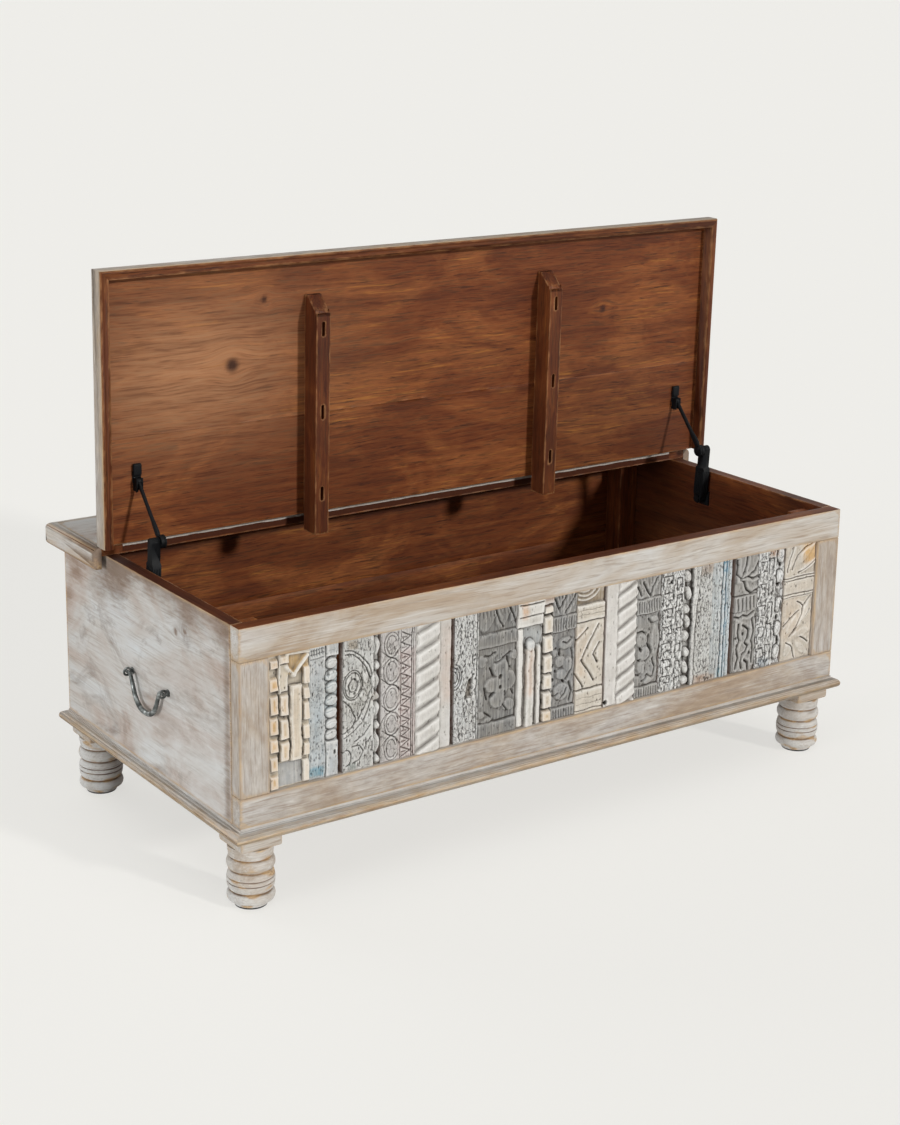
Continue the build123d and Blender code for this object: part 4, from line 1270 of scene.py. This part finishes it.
def heartStrip(c):
    course(c, 133, 299, -1.4)
    grooves(c, 1.5, 3.4, 1.6, [(23, 201), (22, 186), (18, 174), (8, 163)], [(50, 188), (42, 173), (27, 166), (12, 163)],
            [(8, 160), (17, 157), (24, 142), (35, 135), (50, 140)], [(27, 164), (38, 160), (50, 163)],
            [(2, 196), (3, 172), (9, 163)])
    course(c, 107, 132, -0.2)
    grooves(c, 1.1, 2.4, 0.7, *([(x, 109), (x - 2, 129)] for x in (8, 17, 26, 35, 43)))
    course(c, -5, 105, -1.8)
    grooves(c, 1.4, 3.0, 1.5, [(2, 99), (12, 95), (20, 99), (30, 96), (44, 102)],
            [(19, 82), (26, 78), (33, 71), (31, 58), (26, 50), (33, 44), (29, 34), (20, 30), (17, 18), (22, 6)],
            [(12, 84), (10, 70), (14, 56), (8, 42), (12, 26), (8, 8)],
            [(40, 90), (44, 70), (41, 52), (46, 34), (42, 14)], [(26, 20), (34, 14), (36, 2)])
    for x, z in ((7, 61), (8, 48), (22, 66), (38, 30)):
        hole(c, x, z, 2.2, 3.2, 3.5)
    seams(c, 1.3, (106, 2.6), (133, 2.6))
    cuts(c, 0.9, 1.4, [(3, -5), (3, 103)])
    nicks(c, 90, 1, c.w - 1, 0.85, 1.1, 16)


def wornStrip(c):
    for z in (8, 44, 82, 120, 158):
        cuts(c, 1.2, 2.2, [(4, z), (4, z + 26), (19, z + 26), (19, z + 9), (11, z + 9)],
             [(24, z + 4), (24, z + 30), (34, z + 30), (34, z + 4)])
    nicks(c, 300, 1, 38, 0.9, 2.0, 17)
    lane(c, 39, 99, -2.4, 0.9)
    for z in (20, 62, 104, 152, 190):
        blob(c, 50, z, 9, 13, 4.0, 1.0)
    for x, z, rz in ((48, 140, 5), (52, 100, 11), (49, 82, 5), (53, 40, 9), (50, 174, 5)):
        hole(c, x, z, 3.4, rz, 5.0, "#241f1b", 0.9)
    scallop(c, 5.0, 100, 44, 1.6)
    patch(c, 6, 32, -5, 16, 6, "#6d8597", 0.85, 0.4, 1, 7, 6)
    patch(c, 24, 44, 190, 299, 4, "#b07a4c", 0.9, 0.5, 1, 9, 1)


def petalStrip(c):
    course(c, -5, 110, -1.6)
    for oval in ((20, 62, 24, 9, 50), (46, 78, 30, 9, 54), (44, 46, 22, 9, 10), (46, 18, 24, 9, -40),
                 (14, 20, 17, 10, 66)):
        plateau(c, 1.9, 4.0, oval)
    grooves(c, 0.95, 2.4, 0.5, [(3, 62), (14, 72), (26, 79), (37, 86)],
            [(33, 102), (42, 98), (46, 93), (42, 79), (30, 57), (18, 42)], [(46, 93), (54, 100), (63, 106)],
            [(11, 31), (20, 26), (26, 19), (33, 2)], [(42, 38), (54, 33), (62, 26)], [(24, 48), (44, 66), (62, 84)])
    course(c, 112, 148, -0.3)
    seams(c, 1.1, (112, 2.0), (117, 2.0), (141, 2.0), (146, 2.0), rise=0)
    course(c, 149, 299, -1.4)
    for oval in ((46, 186, 30, 9, 44), (52, 164, 24, 8, 24), (14, 182, 24, 9, 74)):
        plateau(c, 1.8, 4.0, oval)
    grooves(c, 0.95, 2.2, 0.5, [(17, 160), (20, 172), (28, 184), (44, 195), (66, 203)],
            [(30, 152), (42, 157), (54, 163), (68, 171)], [(6, 158), (8, 178), (16, 199)])
    patch(c, 40, 99, 168, 299, 7, "#d0a052", 0.85, 0.45, 1, 14, 4)
    patch(c, -5, 40, 40, 110, 12, "#c7ac8e", 0.6, 0, 1, 18, 3)
    nicks(c, 60, 1, 66, 0.9, 1.2, 18)


leftFlower = dict(
    barLow=140, barHigh=167,
    forms=((17, 93, 12, 10), (32, 86, 10, 13), (20, 72, 12, 9), (27, 121, 17, 10), (20, 43, 16, 16), (4, 108, 7, 9)),
    lines=([(20, 124), (28, 121), (39, 127)], [(13, 28), (25, 38), (28, 48)], [(0, 40), (6, 37), (12, 41)],
           [(0, 113), (9, 114)], [(40, 110), (43, 92), (40, 74), (30, 62)], [(36, 56), (42, 40), (38, 24)],
           [(17, 112), (17, 103)]),
    holes=((17, 105, 3.2), (3.5, 87, 3.2), (9.4, 78, 2.6), (4.7, 65, 3.2), (25, 59, 2.8), (31, 112, 2.4)),
    tops=([(2, 199), (13, 178), (26, 199)], [(24, 171), (36, 186), (45, 200)]))
rightFlower = dict(
    barLow=138, barHigh=165,
    forms=((12, 96, 12, 13), (16, 72, 15, 13), (40, 92, 10, 30), (14, 50, 12, 12), (27, 27, 11, 8), (36, 128, 9, 7)),
    lines=([(27, 129), (34, 121), (45, 124), (47, 134)], [(6, 109), (15, 111), (21, 107)],
           [(28, 103), (25, 88), (32, 76), (30, 63), (22, 55), (21, 41)], [(17, 26), (27, 35), (36, 29)],
           [(0, 38), (10, 36)], [(38, 60), (44, 46), (40, 30)]),
    holes=((10, 80, 3.4), (8.5, 63, 3.2), (4, 118, 2.2)),
    tops=([(13, 192), (22, 176), (27, 168)], [(40, 196), (31, 178), (28, 168)], [(2, 186), (8, 172)]))
# in each look, one number scales how much the hollows are darkened, dirt with painted shade, and another how much
# raised parts are whitened, rubbed paint with painted highlights
carving = {
    1: dict(cut=brickStrip, slot="carved_cream", paint="#cfc4b1", crazed=0.15),
    2: dict(cut=spoolStrip, slot="carved_blue", paint="#b4b8ba", crazed=0.3, dirtAndShade=0.75),
    3: dict(cut=scrollStrip, slot="carved_white", paint="#b7b8b6", crazed=0.45),
    4: dict(cut=latticeStrip, slot="carved_cream", paint="#b2aead", crazed=0.4),
    5: dict(cut=ropeLeftStrip, slot="carved_white", paint="#cfcdc9", crazed=0.1, dirtAndShade=0.45),
    6: dict(cut=chippedStrip, slot="carved_white", paint="#c3c5c5", crazed=0.6),
    7: dict(cut=flowerStrip, slot="carved_grey", paint="#6b6b6a", crazed=0.15, dirtAndShade=0.85, rubbedAndLit=0.3),
    8: dict(cut=pilasterStrip, slot="carved_white", paint="#cdcac4", crazed=0.2),
    9: dict(cut=leafyStrip, pattern=leftFlower, slot="carved_grey", paint="#7a7b7c", crazed=0.2, dirtAndShade=0.85,
            rubbedAndLit=0.35),
    10: dict(cut=diamondStrip, slot="carved_cream", paint="#c8bfb1", crazed=0.2),
    11: dict(cut=ropeRightStrip, slot="carved_white", paint="#d2cfcb", crazed=0.1, dirtAndShade=0.4),
    12: dict(cut=leafyStrip, pattern=rightFlower, slot="carved_grey", paint="#888887", crazed=0.2, dirtAndShade=0.85,
             rubbedAndLit=0.4),
    13: dict(cut=crazedStrip, slot="carved_white", paint="#d0d2d2", crazed=1.1),
    14: dict(cut=ribbonStrip, slot="carved_white", paint="#bfc0be", crazed=0.55),
    15: dict(cut=blueStrip, slot="carved_blue", paint="#b4b9bb", crazed=0.4),
    16: dict(cut=heartStrip, slot="carved_grey", paint="#8a8987", crazed=0.15, dirtAndShade=0.85, rubbedAndLit=0.4),
    17: dict(cut=wornStrip, slot="carved_white", paint="#cbcccc", crazed=0.95),
    18: dict(cut=petalStrip, slot="carved_cream", paint="#c9bfb1", crazed=0.2),
}


def over(field, start, span):
    # how far the field is past start, from 0 to 1
    return np.clip((field - start) / span, 0, 1)


finePoints = 1150  # points per metre, one every 0.87 mm


def carvingBlank(name, low, high, columns, rows):
    # a plain block with a fine grid on its front
    deselectAll()
    bpy.ops.mesh.primitive_grid_add(x_subdivisions=columns, y_subdivisions=rows, size=1, rotation=(math.pi / 2, 0, 0),
                                    location=((low.x + high.x) / 2, low.y, (low.z + high.z) / 2))
    piece = bpy.context.object
    piece.scale = (high.x - low.x, high.z - low.z, 1)
    piece.name = name
    bpy.ops.object.transform_apply(location=True, rotation=True, scale=True)
    bpy.ops.object.mode_set(mode="EDIT")
    bpy.ops.mesh.select_all(action="SELECT")
    bpy.ops.mesh.region_to_loop()
    bpy.ops.mesh.extrude_edges_move(TRANSFORM_OT_translate={"value": (0, high.y - low.y, 0)})
    bpy.ops.mesh.edge_face_add()
    bpy.ops.object.mode_set(mode="OBJECT")
    return piece


def carvedStrip(number, look):
    node = "carved_strip_%02d" % number
    low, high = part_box(node)
    width, height = high.x - low.x, high.z - low.z
    columns, rows = int(width * finePoints), int(height * finePoints)
    piece = carvingBlank("carving_%02d" % number, low, high, columns, rows)
    places = points(piece)
    front = np.where(places[:, 1] < low.y + 1e-5)[0]
    xs, zs = (places[front, 0] - low.x) * 1000, (places[front, 2] - low.z) * 1000
    order = np.lexsort((xs.round(3), zs.round(3)))
    front = front[order]
    shape = (rows + 1, columns + 1)
    across, up = xs[order].reshape(shape), zs[order].reshape(shape)
    c = SimpleNamespace(x=across, z=up, w=width * 1000, h=height * 1000, r=np.zeros(shape), edge=np.zeros(shape),
                        paint=np.tile(np.array(colour(look["paint"])[:3]), shape + (1,)))
    for scale, reach in ((24, 3.4), (8, 1.3)):  # hand carving never runs quite straight
        c.x = c.x + (uneven(c, scale, number * 1.3) - 0.5) * reach
        c.z = c.z + (uneven(c, scale, number * 3.7 + 40) - 0.5) * reach
    look["cut"](c, **look.get("pattern", {}))
    c.x, c.z = across, up
    c.r += (uneven(c, 26, number * 1.7) - 0.5) * 0.9 + (uneven(c, 5, number * 5.1) - 0.5) * 0.7
    c.r = np.where(c.r < 0, c.r * 1.5, c.r)
    border = np.minimum(np.minimum(across, c.w - across), np.minimum(up, c.h - up))
    c.r -= 1.3 * np.exp(-(border / 1.3) ** 2) * (0.2 + 1.2 * uneven(c, 9, number * 2.3))
    relief = np.clip(c.r, -9, 2.6)
    # hollows are darkened and raised parts whitened in the paint: dirt and rubbed paint, together with painted shade in
    # the hollows and painted highlights on the ridges
    hollow, deep, sunk = (spread(relief, reach) - relief for reach in (2, 7, 16))
    dirtAndShade = over(hollow, 0.2, 1.1) * 0.6 + over(deep, 0.4, 3.0) * 0.6 + over(sunk, 0.5, 4.5) * 0.45
    rubbedAndLit = over(-deep, 0.15, 1.2) * 0.7 + over(-hollow, 0.1, 0.8) * 0.5
    across = across - c.edge * ease(c.w - 9, c.w, across)
    places[front, 0] = low.x + across.ravel() / 1000
    places[front, 1] = low.y - relief.ravel() / 1000
    movePoints(piece, places)
    for name, field in (("cut", dirtAndShade * look.get("dirtAndShade", 1)), ("ridge", rubbedAndLit * look.get("rubbedAndLit", 1))):
        values = np.zeros(len(places))
        values[front] = np.clip(field, 0, 1).ravel()
        mark(piece, name, values)
    bare = np.ones(len(places))
    bare[front] = 0
    mark(piece, "bare", bare)
    mark(piece, "crazed", look["crazed"])
    paint = np.ones((len(places), 4))
    paint[front, :3] = c.paint.reshape(-1, 3)
    mark(piece, "paint", paint, "FLOAT_COLOR")
    smoothEdges(piece, 60)
    standFor(piece, "chest", look["slot"], node, paintedCarving)


for number, look in carving.items():
    carvedStrip(number, look)
print("carved strips made")


# stage, light and camera

def seenRays(tree):
    # what the lens, metal and glass see of the backdrop
    rays = put(tree, "LightPath").node.outputs
    both = put(tree, "Math", {0: rays["Is Camera Ray"], 1: rays["Is Glossy Ray"]}, operation="MAXIMUM")
    return put(tree, "Math", {0: both, 1: rays["Is Transmission Ray"]}, operation="MAXIMUM")


stage = dict(backdrop="#ecebe7", floor="#e6e5e1", glow=1.175, glowShare=0.65, sky=(1.0, 0.99, 0.98, 1), skyLevel=0.27)
deselectAll()
bpy.ops.mesh.primitive_plane_add(size=400, location=(0, 0, -0.0005))
floor = bpy.context.object
floor.name = "studio_floor"
floorPaint, tree = newMaterial("paleStudioFloor")  # matt pale paint that the lens sees paler, with a faint shadow
matt = put(tree, "BsdfPrincipled", {"Base Color": stage["floor"], "Roughness": 0.9, "Specular IOR Level": 0})
glow = put(tree, "Emission", {"Color": stage["backdrop"], "Strength": stage["glow"]})
share = put(tree, "Math", {0: seenRays(tree), 1: stage["glowShare"]}, operation="MULTIPLY")
put(tree, "OutputMaterial", {"Surface": put(tree, "MixShader", {0: share, 1: matt, 2: glow})})
floor.data.materials.append(floorPaint)

world = bpy.data.worlds.new("studio")
bpy.context.scene.world = world
world.use_nodes = True
tree = world.node_tree
tree.nodes.clear()
plain = put(tree, "Background", {"Color": stage["backdrop"], "Strength": 1})
soft = put(tree, "Background", {"Color": stage["sky"], "Strength": stage["skyLevel"]})
put(tree, "OutputWorld", {"Surface": put(tree, "MixShader", {0: seenRays(tree), 1: soft, 2: plain})})

suns = {
    "key_right_front": dict(aim=(-0.33, 0.93, -0.37), strength=1.95, angle=5, shade=(1.0, 0.985, 0.965)),
    "fill_left": dict(aim=(1.0, 0.16, -0.05), strength=2.1, angle=25, shade=(0.97, 0.985, 1.0)),
    "back_soft": dict(aim=(0.25, -1.0, -0.40), strength=0.8, angle=50, shade=(0.98, 0.99, 1.0)),
    "top_soft": dict(aim=(0.1, 0.25, -1.0), strength=0.5, angle=60, shade=(1.0, 1.0, 1.0)),
}
for name, look in suns.items():
    lamp = bpy.data.lights.new(name, "SUN")
    lamp.energy = look["strength"]
    lamp.angle = math.radians(look["angle"])
    lamp.color = look["shade"]
    holder = bpy.data.objects.new(name, lamp)
    bpy.context.scene.collection.objects.link(holder)
    holder.rotation_euler = Vector(look["aim"]).to_track_quat("-Z", "Y").to_euler()

view = dict(azimuth=35.333, elevation=14.447, roll=0.93, place=(-1.8815, -2.6151, 1.3510), lens=65.65, shiftY=-0.0858)
camera = bpy.data.cameras.new("photo_camera")
camera.sensor_fit = "VERTICAL"
camera.sensor_height = 36
camera.lens = view["lens"]
camera.shift_y = view["shiftY"]
camera.clip_end = 1000
cameraHolder = bpy.data.objects.new("photo_camera", camera)
bpy.context.scene.collection.objects.link(cameraHolder)
cameraHolder.matrix_world = (Matrix.Translation(view["place"]) @ Matrix.Rotation(-math.radians(view["azimuth"]), 4, "Z")
                             @ Matrix.Rotation(math.radians(90 - view["elevation"]), 4, "X")
                             @ Matrix.Rotation(math.radians(view["roll"]), 4, "Z"))
bpy.context.scene.camera = cameraHolder
bpy.context.scene.view_settings.view_transform = "Standard"
print("stage, light and camera set")
